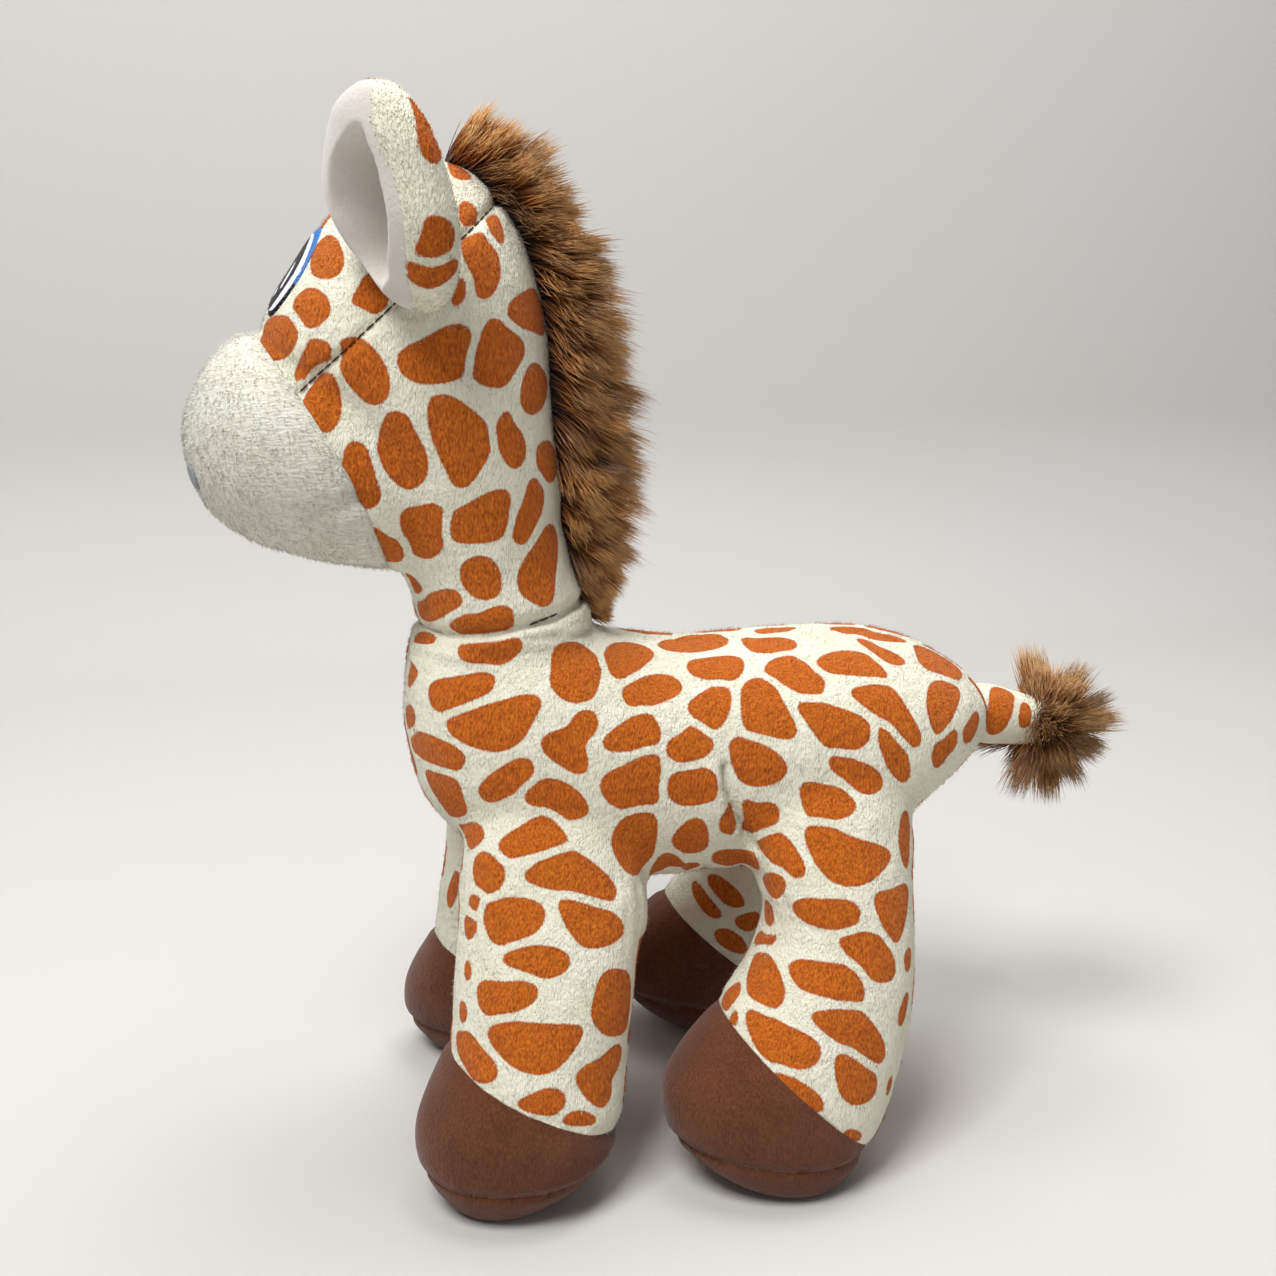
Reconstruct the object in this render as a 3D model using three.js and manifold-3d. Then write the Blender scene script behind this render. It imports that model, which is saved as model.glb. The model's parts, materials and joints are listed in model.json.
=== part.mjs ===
// A plush giraffe, built as it is sewn: printed cover panels over stuffed fillings, a muzzle of plain
// plush, hooves with separate soles, lined ears, a long-pile mane and a tufted tail.
// Millimetres. The nose points to -X, up is +Z, the toy's left side faces -Y, and the toy stands on
// Z = 0 with the middle of its length and width at the origin.
import * as THREE from "three";
import { mergeVertices } from "three/addons/utils/BufferGeometryUtils.js";
import Module from "manifold-3d";

const wasm = await Module();
wasm.setup();

// Cloth and clearances
const coverThickness = 1.6;
const gap = 0.3;
const standingFlat = 0.5;
const overrun = 60;

// Torso
const bellyHeight = 66;
const torsoLength = 147;
const torsoHeight = 61;
const torsoWidth = 60;
const gussetWidth = 26;

// Head and neck
const headHeight = 101.5;
const headDepth = 64;
const headWidth = 54;
const neckRadius = 22;
const neckHemDepth = 11;

// Muzzle
const muzzleLength = 67;
const muzzleHeight = 50;
const muzzleWidthShare = 0.963;
const muzzleWidth = muzzleWidthShare * headWidth;
const muzzleSeamBow = 80;

// Legs and hooves
const hipOffset = 16;
const frontHoofOffset = 37.5;
const hindHoofOffset = 39.5;
const legWidth = 37.5;
const frontHoofLength = 48;
const hindHoofLength = 55;
const soleHeight = 10;

// Ears
const earLength = 44;
const earWidth = 25.5;
const earRootRadius = 5;
const earClothThickness = 1.3;
const earFoldDegrees = [-4, 26];

// Eyes, mane, tail and tuft
const eyeHeight = 22;
const eyeWidth = 13;
const eyeSpacing = 18.4;
const nostrilHeight = 6;
const nostrilWidth = 4;
const nostrilSpacing = 17;
const threadThickness = 0.9;
const maneHeight = 21;
const maneThickness = 20;
const maneRootDepth = 4;
const maneBackingWidth = 9;
const maneBackingThickness = 1.5;
const maneBackingInset = 2;
const tailLength = 25;
const tailRadius = 6.4;
const tailRootRadius = 8.2;
const tailHemDepth = 3.5;
const tuftLength = 30;
const tuftHeight = 40;
const tuftWidth = 34;

// Resolution of the forms
const torsoSides = 14;
const headSides = 12;
const muzzleSides = 12;
const legSides = 10;
const tailSides = 8;
const ballRows = 6;
const neckBallSides = 24;
const tailBallSides = 16;
const earBallSides = 12;
const maneSides = 10;
const tuftSides = 12;
const padSides = 16;
const cutterSides = 24;

// Materials, coloured as in the photograph
const cloth = (color, roughness) => new THREE.MeshStandardMaterial({ color, roughness, metalness: 0 });
const printedPlush = cloth(0xece6d6, 0.9);
const creamPlush = cloth(0xe9e4d8, 0.92);
const whitePlush = cloth(0xeceae8, 0.92);
const brownPlush = cloth(0x5d3424, 0.9);
const longPile = cloth(0x8a5a30, 0.8);
const backingCloth = cloth(0x5a3a22, 0.95);
const fibreFill = cloth(0xf4f4f2, 1);
const eyeThread = cloth(0x1b1d20, 0.5);
const nostrilThread = cloth(0x8d8f92, 0.6);

// Unit directions
const forward = new THREE.Vector3(-1, 0, 0);
const back = new THREE.Vector3(1, 0, 0);
const up = new THREE.Vector3(0, 0, 1);
const down = new THREE.Vector3(0, 0, -1);
const left = new THREE.Vector3(0, -1, 0);
const right = new THREE.Vector3(0, 1, 0);

const point = (x, y, z) => new THREE.Vector3(x, y, z);

// A manifold solid from a closed geometry.
function solid(geometry) {
  const bare = geometry.clone();
  bare.deleteAttribute("normal");
  bare.deleteAttribute("uv");
  const merged = mergeVertices(bare, 1e-4);
  return new wasm.Manifold(
    new wasm.Mesh({
      numProp: 3,
      vertProperties: new Float32Array(merged.attributes.position.array),
      triVerts: new Uint32Array(merged.index.array),
    }),
  );
}

// A geometry from a manifold solid.
function geometryOf(made) {
  const mesh = made.getMesh();
  const geometry = new THREE.BufferGeometry();
  geometry.setAttribute("position", new THREE.BufferAttribute(new Float32Array(mesh.vertProperties), 3));
  geometry.setIndex(new THREE.BufferAttribute(new Uint32Array(mesh.triVerts), 1));
  return geometry;
}

// Rounded rings strung between two poles. A ring is { centre, across, rise }, with half axes as vectors.
function stuffedForm(startPole, rings, endPole, sides, roundness = 2) {
  const positions = [...startPole];
  const power = 2 / roundness;
  const swell = (value) => Math.sign(value) * Math.abs(value) ** power;
  for (const { centre, across, rise } of rings) {
    for (let i = 0; i < sides; i += 1) {
      const angle = (i / sides) * 2 * Math.PI;
      const at = centre
        .clone()
        .addScaledVector(across, swell(Math.cos(angle)))
        .addScaledVector(rise, swell(Math.sin(angle)));
      positions.push(...at);
    }
  }
  positions.push(...endPole);
  const last = rings.length * sides + 1;
  const index = [];
  for (let i = 0; i < sides; i += 1) {
    const next = (i + 1) % sides;
    index.push(0, 1 + next, 1 + i);
    index.push(last, last - sides + i, last - sides + next);
    for (let ring = 0; ring < rings.length - 1; ring += 1) {
      const low = 1 + ring * sides;
      const high = low + sides;
      index.push(low + i, low + next, high + next, low + i, high + next, high + i);
    }
  }
  const geometry = new THREE.BufferGeometry();
  geometry.setAttribute("position", new THREE.Float32BufferAttribute(positions, 3));
  geometry.setIndex(index);
  return facingOut(geometry);
}

// Turns a closed geometry's faces round if they face inwards.
function facingOut(geometry) {
  const { array } = geometry.attributes.position;
  const order = geometry.index.array;
  const corner = (i) => new THREE.Vector3().fromArray(array, order[i] * 3);
  let volume = 0;
  for (let i = 0; i < order.length; i += 3) volume += corner(i).dot(corner(i + 1).cross(corner(i + 2)));
  if (volume < 0) for (let i = 0; i < order.length; i += 3) [order[i], order[i + 1]] = [order[i + 1], order[i]];
  return geometry;
}

// The same form with its surface moved out by a distance, or in where it is negative.
function grown(geometry, distance) {
  const moved = geometry.clone();
  moved.computeVertexNormals();
  const { position, normal } = moved.attributes;
  for (let i = 0; i < position.count; i += 1) {
    position.setXYZ(
      i,
      position.getX(i) + normal.getX(i) * distance,
      position.getY(i) + normal.getY(i) * distance,
      position.getZ(i) + normal.getZ(i) * distance,
    );
  }
  return solid(moved);
}

// All that lies on the side of a plane that its normal points to, as far as the overrun.
function beyond(at, normal, reach = 8 * overrun) {
  const box = new THREE.BoxGeometry(reach, reach, reach);
  box.translate(0, 0, reach / 2);
  box.applyQuaternion(new THREE.Quaternion().setFromUnitVectors(up, normal.clone().normalize()));
  box.translate(...at);
  return solid(box);
}

// A ball whose facets run round the axis that it turns about, so that it turns freely in its seat.
function ball(centre, radius, axis, sides) {
  const sphere = new THREE.SphereGeometry(radius, sides, ballRows);
  sphere.applyQuaternion(new THREE.Quaternion().setFromUnitVectors(right, axis));
  return solid(sphere.translate(...centre));
}

const joined = (solids) => solids.reduce((whole, piece) => whole.add(piece));
const cutBy = (piece, cutters) => cutters.reduce((rest, cutter) => rest.subtract(cutter), piece);

const toy = new THREE.Group();
function addPiece(name, made, material) {
  const mesh = new THREE.Mesh(geometryOf(made), material);
  mesh.name = name;
  toy.add(mesh);
}

// The torso's sections: along its length, then the bottom, top and width of each.
const torsoPoleShares = { front: 0.71, rump: 0.59 };
const torsoSectionShares = [
  [0.02, 0.43, 1.02, 0.48],
  [0.07, 0.25, 1.12, 0.74],
  [0.139, 0.11, 1.13, 0.87],
  [0.223, 0.02, 1.11, 0.95],
  [0.33, 0, 1.01, 0.98],
  [0.42, 0, 0.965, 0.965],
  [0.516, 0.01, 0.955, 0.95],
  [0.627, 0.02, 0.965, 0.985],
  [0.725, 0.04, 0.97, 1],
  [0.808, 0.16, 0.945, 0.97],
  [0.878, 0.285, 0.895, 0.86],
  [0.934, 0.4, 0.82, 0.7],
  [0.976, 0.505, 0.72, 0.44],
];
const torsoFront = 0;
const torsoRoundness = 2.25;

function torsoForm() {
  const place = (along, heightShare) => point(torsoFront + along * torsoLength, 0, bellyHeight + heightShare * torsoHeight);
  const rings = torsoSectionShares.map(([along, bottom, top, width]) => ({
    centre: place(along, (bottom + top) / 2),
    across: right.clone().multiplyScalar((width * torsoWidth) / 2),
    rise: up.clone().multiplyScalar(((top - bottom) * torsoHeight) / 2),
  }));
  return stuffedForm(place(0, torsoPoleShares.front), rings, place(1, torsoPoleShares.rump), torsoSides, torsoRoundness);
}

// The neck and skull rise from the neck's centre: height, front, back and width of each section.
const neckSeatShares = { along: 0.171, rise: 1.117 };
const neckCentre = point(
  torsoFront + neckSeatShares.along * torsoLength,
  0,
  bellyHeight + neckSeatShares.rise * torsoHeight,
);
const skullSectionShares = [
  [0.045, -0.348, 0.32, 0.79],
  [0.1, -0.38, 0.275, 0.78],
  [0.192, -0.46, 0.236, 0.83],
  [0.293, -0.53, 0.215, 0.9],
  [0.394, -0.6, 0.195, 0.962],
  [0.495, -0.72, 0.184, 1],
  [0.596, -0.84, 0.176, 1],
  [0.677, -0.8, 0.16, 0.98],
  [0.758, -0.708, 0.136, 0.925],
  [0.838, -0.622, 0.088, 0.81],
  [0.909, -0.52, 0.016, 0.66],
  [0.97, -0.36, -0.072, 0.415],
];
const skullCrownShare = -0.2;
const neckSeatWidthShare = 0.86;
const headPlace = (depthShare, heightShare) =>
  point(neckCentre.x + depthShare * headDepth, 0, neckCentre.z + heightShare * headHeight);

function skullForm() {
  const rings = skullSectionShares.map(([height, front, rear, width]) => ({
    centre: headPlace((front + rear) / 2, height),
    across: back.clone().multiplyScalar(((rear - front) * headDepth) / 2),
    rise: right.clone().multiplyScalar((width * headWidth) / 2),
  }));
  rings.unshift({
    centre: neckCentre,
    across: back.clone().multiplyScalar(neckSeatWidthShare * neckRadius),
    rise: right.clone().multiplyScalar(neckSeatWidthShare * neckRadius),
  });
  const seat = neckCentre.clone().addScaledVector(down, neckRadius / 2);
  return stuffedForm(seat, rings, headPlace(skullCrownShare, 1), headSides);
}

// The muzzle, from its tip back into the skull: along, rise, height and width of each section.
const muzzleSeatShares = { tip: -1.088, rise: 0.343 };
const muzzleSectionShares = [
  [0.018, 0.12, 0.29, 0.283],
  [0.069, 0.11, 0.58, 0.566],
  [0.145, 0.125, 0.8, 0.755],
  [0.237, 0.12, 0.945, 0.887],
  [0.359, 0.09, 0.985, 0.965],
  [0.481, 0.045, 1, 0.99],
  [0.634, -0.02, 0.95, 0.92],
  [0.817, -0.08, 0.8, 0.7],
];
const muzzleTipRiseShare = 0.137;
const muzzlePlace = (along, rise) => {
  const seat = headPlace(muzzleSeatShares.tip, muzzleSeatShares.rise);
  return seat.add(point(along * muzzleLength, 0, rise * muzzleHeight));
};

function muzzleForm() {
  const rings = muzzleSectionShares.map(([along, rise, height, width]) => ({
    centre: muzzlePlace(along, rise),
    across: right.clone().multiplyScalar((width * muzzleWidth) / 2),
    rise: up.clone().multiplyScalar((height * muzzleHeight) / 2),
  }));
  return stuffedForm(muzzlePlace(0, muzzleTipRiseShare), rings, muzzlePlace(1, 0), muzzleSides);
}

// Legs, from inside the torso down to the sole: height, front, back, spread and width of each section.
const frontLeg = {
  name: "front",
  hoofLength: frontHoofLength,
  hoofOffset: frontHoofOffset,
  placeShare: 0.153,
  hipShare: 0.517,
  hipPoleShare: 0.213,
  solePoleShare: 0,
  sectionShares: [
    [0.9, -0.14, 0.55, 0.08, 0.66],
    [0.76, -0.234, 0.67, 0.2, 0.85],
    [0.65, -0.255, 0.68, 0.35, 0.925],
    [0.53, -0.287, 0.617, 0.515, 0.95],
    [0.4, -0.319, 0.564, 0.68, 0.95],
    [0.28, -0.447, 0.532, 0.82, 0.975],
    [0.2, -0.5, 0.5, 0.905, 1],
    [0.12, -0.489, 0.468, 0.965, 1],
    [0.05, -0.4, 0.38, 0.99, 0.86],
    [0.003, -0.27, 0.25, 1, 0.62],
  ],
  hoofSeamShares: { front: [-0.31, 0.375], rear: [0.477, 0.18] },
  soleTiltShare: 0.02,
};
const hindLeg = {
  name: "hind",
  hoofLength: hindHoofLength,
  hoofOffset: hindHoofOffset,
  placeShare: 0.566,
  hipShare: 0.65,
  hipPoleShare: 0.33,
  solePoleShare: 0.105,
  sectionShares: [
    [0.89, 0.03, 0.63, 0.08, 0.66],
    [0.759, -0.06, 0.69, 0.2, 0.875],
    [0.667, -0.025, 0.68, 0.32, 0.925],
    [0.583, 0, 0.675, 0.44, 0.925],
    [0.481, -0.085, 0.66, 0.6, 0.925],
    [0.389, -0.24, 0.64, 0.72, 0.925],
    [0.296, -0.42, 0.6, 0.84, 0.95],
    [0.222, -0.5, 0.55, 0.92, 0.975],
    [0.139, -0.463, 0.49, 0.965, 0.975],
    [0.06, -0.33, 0.4, 0.99, 0.86],
    [0.003, -0.14, 0.3, 1, 0.6],
  ],
  hoofSeamShares: { front: [-0.317, 0.444], rear: [0.406, 0.085] },
  soleTiltShare: 0.12,
};

// One side is -1 for the toy's left and 1 for its right.
function legPlace(leg, side, lengthShare, heightShare, spreadShare) {
  const hipHeight = bellyHeight + leg.hipShare * torsoHeight;
  return point(
    torsoFront + leg.placeShare * torsoLength + lengthShare * leg.hoofLength,
    side * (hipOffset + spreadShare * (leg.hoofOffset - hipOffset)),
    heightShare * hipHeight,
  );
}

function legForm(leg, side) {
  const rings = leg.sectionShares.map(([height, front, rear, spread, width]) => ({
    centre: legPlace(leg, side, (front + rear) / 2, height, spread),
    across: back.clone().multiplyScalar(((rear - front) * leg.hoofLength) / 2),
    rise: right.clone().multiplyScalar((width * legWidth) / 2),
  }));
  const hipPole = legPlace(leg, side, leg.hipPoleShare, 1, 0);
  const solePole = legPlace(leg, side, leg.solePoleShare, 0, 1).addScaledVector(down, standingFlat);
  return stuffedForm(hipPole, rings, solePole, legSides);
}

const torso = torsoForm();
const skull = skullForm();
const muzzle = muzzleForm();
const neckBall = (distance) => ball(neckCentre, neckRadius + distance, right, neckBallSides);
const headBody = (distance) =>
  joined([grown(skull, distance), grown(muzzle, distance), neckBall(distance)]);
const headOuter = headBody(0);
const headClear = headBody(gap);
const neckBallClear = neckBall(gap);

// Tail: a ball at its root seats in the rump, and the tube tapers into the tuft.
const tailRootShares = { along: 0.993, rise: 0.575 };
const tailDroopShare = 0.22;
const tailTaperShares = [
  [0.06, 1.2],
  [0.3, 1.14],
  [0.6, 1],
  [0.88, 0.8],
  [0.97, 0.5],
];
const tailRoot = point(
  torsoFront + tailRootShares.along * torsoLength,
  0,
  bellyHeight + tailRootShares.rise * torsoHeight,
);
const tailAxis = point(1, 0, -tailDroopShare).normalize();
const tailAcross = point(tailDroopShare, 0, 1).normalize();
const tailPlace = (along) => tailRoot.clone().addScaledVector(tailAxis, along * tailLength);

function tailForm() {
  const rings = tailTaperShares.map(([along, width]) => ({
    centre: tailPlace(along),
    across: right.clone().multiplyScalar(width * tailRadius),
    rise: tailAcross.clone().multiplyScalar(width * tailRadius),
  }));
  return stuffedForm(tailRoot, rings, tailPlace(1), tailSides);
}

const tail = tailForm();
const tailBall = (distance) => ball(tailRoot, tailRootRadius + distance, right, tailBallSides);
const tailBody = (distance) => joined([grown(tail, distance), tailBall(distance)]);
const tailBallClear = tailBall(gap);

// Torso cover, in a left and a right panel with a gusset under the belly, over its filling.
const legs = [frontLeg, hindLeg].flatMap((leg) => [-1, 1].map((side) => ({ leg, side, form: legForm(leg, side) })));
const legHollows = legs.map(({ form }) => grown(form, -coverThickness));
const torsoHollow = grown(torso, -coverThickness);
const torsoShell = cutBy(grown(torso, 0), [torsoHollow, neckBallClear, tailBallClear, ...legHollows]);
const gussetTopShare = 0.2;
const gussetEdge = gussetWidth / 2;
const gussetTop = bellyHeight + gussetTopShare * torsoHeight;
function gussetZone(margin) {
  const zone = beyond(point(0, -gussetEdge - margin, 0), right)
    .intersect(beyond(point(0, gussetEdge + margin, 0), left))
    .intersect(beyond(point(0, 0, gussetTop + margin), down));
  return zone;
}
const sidePanels = torsoShell.subtract(gussetZone(gap));
addPiece("body_panel_left", sidePanels.intersect(beyond(point(0, -gap / 2, 0), left)), printedPlush);
addPiece("body_panel_right", sidePanels.intersect(beyond(point(0, gap / 2, 0), right)), printedPlush);
addPiece("belly_gusset", torsoShell.intersect(gussetZone(0)), printedPlush);
addPiece("body_filling", cutBy(grown(torso, -coverThickness - gap), [neckBallClear, tailBallClear]), fibreFill);

// Each leg: a printed cover, a hoof with its sole, and a filling that reaches into the torso.
const torsoClear = grown(torso, gap);
for (const { leg, side, form } of legs) {
  const sideName = side < 0 ? "left" : "right";
  const hollow = grown(form, -coverThickness);
  const shell = cutBy(grown(form, 0), [hollow, torsoClear]);
  const [seamFront, seamRear] = [leg.hoofSeamShares.front, leg.hoofSeamShares.rear].map(([lengthShare, heightShare]) =>
    legPlace(leg, side, lengthShare, heightShare, 1),
  );
  const seamNormal = seamRear.clone().sub(seamFront).cross(left).normalize();
  const seamUp = seamNormal.z > 0 ? seamNormal : seamNormal.negate();
  const soleNormal = point(leg.soleTiltShare, 0, 1).normalize();
  const soleMiddle = legPlace(leg, side, leg.solePoleShare, 0, 1).addScaledVector(up, soleHeight);
  const soleTop = soleMiddle.clone().addScaledVector(soleNormal, gap);
  const floor = beyond(point(0, 0, 0), up);
  const aboveSeam = beyond(seamFront.clone().addScaledVector(seamUp, gap), seamUp);
  const belowSeam = beyond(seamFront, seamUp.clone().negate());
  addPiece(`${leg.name}_leg_cover_${sideName}`, shell.intersect(aboveSeam), printedPlush);
  addPiece(
    `${leg.name}_hoof_${sideName}`,
    shell.intersect(belowSeam).intersect(beyond(soleTop, soleNormal)),
    brownPlush,
  );
  addPiece(
    `${leg.name}_sole_${sideName}`,
    shell.intersect(beyond(soleMiddle, soleNormal.clone().negate())).intersect(belowSeam).intersect(floor),
    brownPlush,
  );
  addPiece(
    `${leg.name}_leg_filling_${sideName}`,
    grown(form, -coverThickness - gap).subtract(torsoHollow),
    fibreFill,
  );
}

// Seams of the head: round the muzzle, along the crown and below the mouth.
const muzzleSeamShares = { top: [-0.818, 0.609], bottom: [-0.424, 0.111] };
const crownSeamShares = { front: [-0.68, 0.535], rear: [0.024, 0.879] };
const mouthSeamShares = { rear: [-0.456, 0.313], front: [-0.744, 0.242] };
const seamLine = ([from, to]) => {
  const start = headPlace(...from);
  return { start, run: headPlace(...to).sub(start).normalize() };
};

// What lies behind the muzzle's seam: a wide drum whose front bows round the cheeks.
function behindMuzzleSeam(distance) {
  const { start, run } = seamLine([muzzleSeamShares.top, muzzleSeamShares.bottom]);
  const drum = new THREE.CylinderGeometry(muzzleSeamBow + distance, muzzleSeamBow + distance, 4 * overrun, cutterSides);
  drum.applyQuaternion(new THREE.Quaternion().setFromUnitVectors(right, run));
  const behind = run.clone().cross(left).normalize();
  if (behind.x < 0) behind.negate();
  return solid(drum.translate(...start.addScaledVector(behind, muzzleSeamBow)));
}

const upwards = (run) => {
  const normal = run.clone().cross(left).normalize();
  return normal.z > 0 ? normal : normal.negate();
};
const crownLine = seamLine([crownSeamShares.front, crownSeamShares.rear]);
const crownUp = upwards(crownLine.run);
const mouthLine = seamLine([mouthSeamShares.rear, mouthSeamShares.front]);
const mouthUp = upwards(mouthLine.run);

// Ears: a printed back and a white lining, cupped and folded on a root that is caught in the crown seam.
const earSeatShares = { behind: -0.35, rise: 0.71, side: 1.02 };
const earLeanShares = { forward: 0.1, out: 0.36 };
const earFaceShares = { forward: 0.72, out: 0.69 };
const earSetBackShare = 0.35;
const earCupSteps = 8;
const earFoldSteps = 6;

function earFrame(side) {
  const seat = headPlace(earSeatShares.behind, earSeatShares.rise);
  seat.y = (side * earSeatShares.side * headWidth) / 2;
  const along = point(-earLeanShares.forward, side * earLeanShares.out, 1).normalize();
  const face = point(-earFaceShares.forward, side * earFaceShares.out, 0);
  face.addScaledVector(along, -face.dot(along)).normalize();
  const across = face.clone().cross(along).normalize();
  return { seat, along, face, across };
}

// The ear's outline: share of its length, half width, and how far its sides curl forward in radians.
const earProfileShares = [
  [0, 0.15, 2.1],
  [0.12, 0.25, 2.05],
  [0.25, 0.39, 1.9],
  [0.43, 0.49, 1.7],
  [0.63, 0.49, 1.5],
  [0.8, 0.43, 1.35],
  [0.92, 0.31, 1.15],
  [1, 0.12, 1],
];
function earProfile(share) {
  const after = Math.max(1, earProfileShares.findIndex(([at]) => at >= share));
  const [low, high] = [earProfileShares[after - 1], earProfileShares[after]];
  const part = (share - low[0]) / (high[0] - low[0]);
  return low.map((value, i) => THREE.MathUtils.lerp(value, high[i], part));
}

function earSurface(side, share, across, depth) {
  const frame = earFrame(side);
  const [, halfWidth, curl] = earProfile(share);
  const radius = (halfWidth * earWidth) / Math.sin(Math.min(curl, Math.PI / 2));
  const angle = across * curl;
  const bowl = radius * (1 - Math.cos(angle) - earSetBackShare);
  return frame.seat
    .clone()
    .addScaledVector(frame.along, share * earLength)
    .addScaledVector(frame.across, (radius + depth) * Math.sin(angle))
    .addScaledVector(frame.face, bowl - depth * Math.cos(angle));
}

// The gathered cloth at the foot of an ear, along the middle of its back: share of the ear's length and
// radius as a share of the root's.
const earGatherShares = [
  [0.03, 0.86],
  [0.1, 0.8],
  [0.17, 0.5],
];
const earGatherEndShare = 0.2;

function earGather(side, distance) {
  const middle = (share) => earSurface(side, share, 0, earClothThickness + gap);
  const { face, across } = earFrame(side);
  const rings = earGatherShares.map(([share, radius]) => ({
    centre: middle(share),
    across: across.clone().multiplyScalar(radius * earRootRadius),
    rise: face.clone().multiplyScalar(radius * earRootRadius),
  }));
  return grown(stuffedForm(middle(0), rings, middle(earGatherEndShare), tailSides), distance);
}

// One layer of an ear's cloth, between two depths behind the lining's face.
function earLayer(side, near, far) {
  const earLengthSteps = earProfileShares.length - 1;
  const columns = earCupSteps + 1;
  const positions = [];
  for (const depth of [near, far]) {
    for (let row = 0; row <= earLengthSteps; row += 1) {
      const share = earProfileShares[row][0];
      for (let column = 0; column < columns; column += 1) {
        positions.push(...earSurface(side, share, (2 * column) / earCupSteps - 1, depth));
      }
    }
  }
  const layer = (earLengthSteps + 1) * columns;
  const index = [];
  const quad = (a, b, c, d) => index.push(a, b, c, a, c, d);
  for (let row = 0; row < earLengthSteps; row += 1) {
    for (let column = 0; column < earCupSteps; column += 1) {
      const a = row * columns + column;
      quad(a, a + 1, a + columns + 1, a + columns);
      quad(layer + a, layer + a + columns, layer + a + columns + 1, layer + a + 1);
    }
  }
  for (let row = 0; row < earLengthSteps; row += 1) {
    const a = row * columns;
    const b = a + earCupSteps;
    quad(a, a + columns, layer + a + columns, layer + a);
    quad(b, layer + b, layer + b + columns, b + columns);
  }
  for (let column = 0; column < earCupSteps; column += 1) {
    const a = column;
    const b = earLengthSteps * columns + column;
    quad(a, layer + a, layer + a + 1, a + 1);
    quad(b, b + 1, layer + b + 1, layer + b);
  }
  const geometry = new THREE.BufferGeometry();
  geometry.setAttribute("position", new THREE.Float32BufferAttribute(positions, 3));
  geometry.setIndex(index);
  return solid(facingOut(geometry));
}

// The head as an ear meets it at each step of its fold, turned about the crown seam at the ear's root.
function headSwept(side) {
  const { seat } = earFrame(side);
  const turned = [];
  for (let step = 0; step <= earFoldSteps; step += 1) {
    const degrees = THREE.MathUtils.lerp(...earFoldDegrees, step / earFoldSteps);
    const turn = new THREE.Quaternion().setFromAxisAngle(
      crownLine.run,
      side * THREE.MathUtils.degToRad(degrees),
    );
    const geometry = geometryOf(headClear).toNonIndexed();
    geometry.translate(...seat.clone().negate());
    geometry.applyQuaternion(turn);
    turned.push(solid(geometry.translate(...seat)));
  }
  return joined(turned);
}

const earBall = (side, distance) =>
  ball(earFrame(side).seat, earRootRadius + distance, crownLine.run, earBallSides);
const earRoots = [-1, 1].map((side) => earBall(side, gap));
for (const side of [-1, 1]) {
  const sideName = side < 0 ? "left" : "right";
  const clear = headSwept(side);
  const root = earBall(side, 0);
  const lining = earLayer(side, 0, earClothThickness);
  const backCloth = earLayer(side, earClothThickness + gap, 2 * earClothThickness + gap);
  addPiece(`ear_back_${sideName}`, backCloth.add(earGather(side, 0)).subtract(clear).add(root), printedPlush);
  addPiece(
    `ear_lining_${sideName}`,
    cutBy(lining, [clear, earGather(side, gap), earBall(side, gap)]),
    whitePlush,
  );
}

// Head cover panels, over one filling that runs down the neck.
const headHollow = headBody(-coverThickness);
const neckHem = neckCentre.z - neckHemDepth;
const aboveHem = beyond(point(0, 0, neckHem), up);
const headShell = cutBy(headOuter, [headHollow, ...earRoots]).intersect(aboveHem);
const chinLevel = headPlace(0, muzzleSeamShares.bottom[1]);
const skullZone = behindMuzzleSeam(0).add(beyond(chinLevel, down));
const muzzleZone = headShell
  .subtract(behindMuzzleSeam(gap))
  .intersect(beyond(chinLevel.clone().addScaledVector(up, gap), up));
const neckZone = headShell.intersect(skullZone).intersect(beyond(crownLine.start, crownUp.clone().negate()));
addPiece(
  "crown_panel",
  headShell.intersect(skullZone).intersect(beyond(crownLine.start.clone().addScaledVector(crownUp, gap), crownUp)),
  printedPlush,
);
addPiece("neck_panel_left", neckZone.intersect(beyond(point(0, -gap / 2, 0), left)), printedPlush);
addPiece("neck_panel_right", neckZone.intersect(beyond(point(0, gap / 2, 0), right)), printedPlush);
addPiece(
  "muzzle_upper",
  muzzleZone.intersect(beyond(mouthLine.start.clone().addScaledVector(mouthUp, gap), mouthUp)),
  creamPlush,
);
addPiece("muzzle_chin", muzzleZone.intersect(beyond(mouthLine.start, mouthUp.clone().negate())), creamPlush);
const neckBallEnd = neckBall(0).intersect(beyond(point(0, 0, neckHem - gap), down));
addPiece("head_filling", cutBy(headBody(-coverThickness - gap), earRoots).add(neckBallEnd), fibreFill);

// Embroidery: an oval pad of thread on the cover, seen square on from a direction splayed to its side.
function threadPad(width, height, seat, splayShare, side) {
  const oval = new THREE.CylinderGeometry(width / 2, width / 2, overrun / 2, padSides);
  oval.scale(1, 1, height / width);
  oval.rotateZ(Math.atan2(side * splayShare, -1) - Math.PI / 2);
  return solid(oval.translate(...seat)).intersect(headBody(gap + threadThickness)).subtract(headClear);
}

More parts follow.
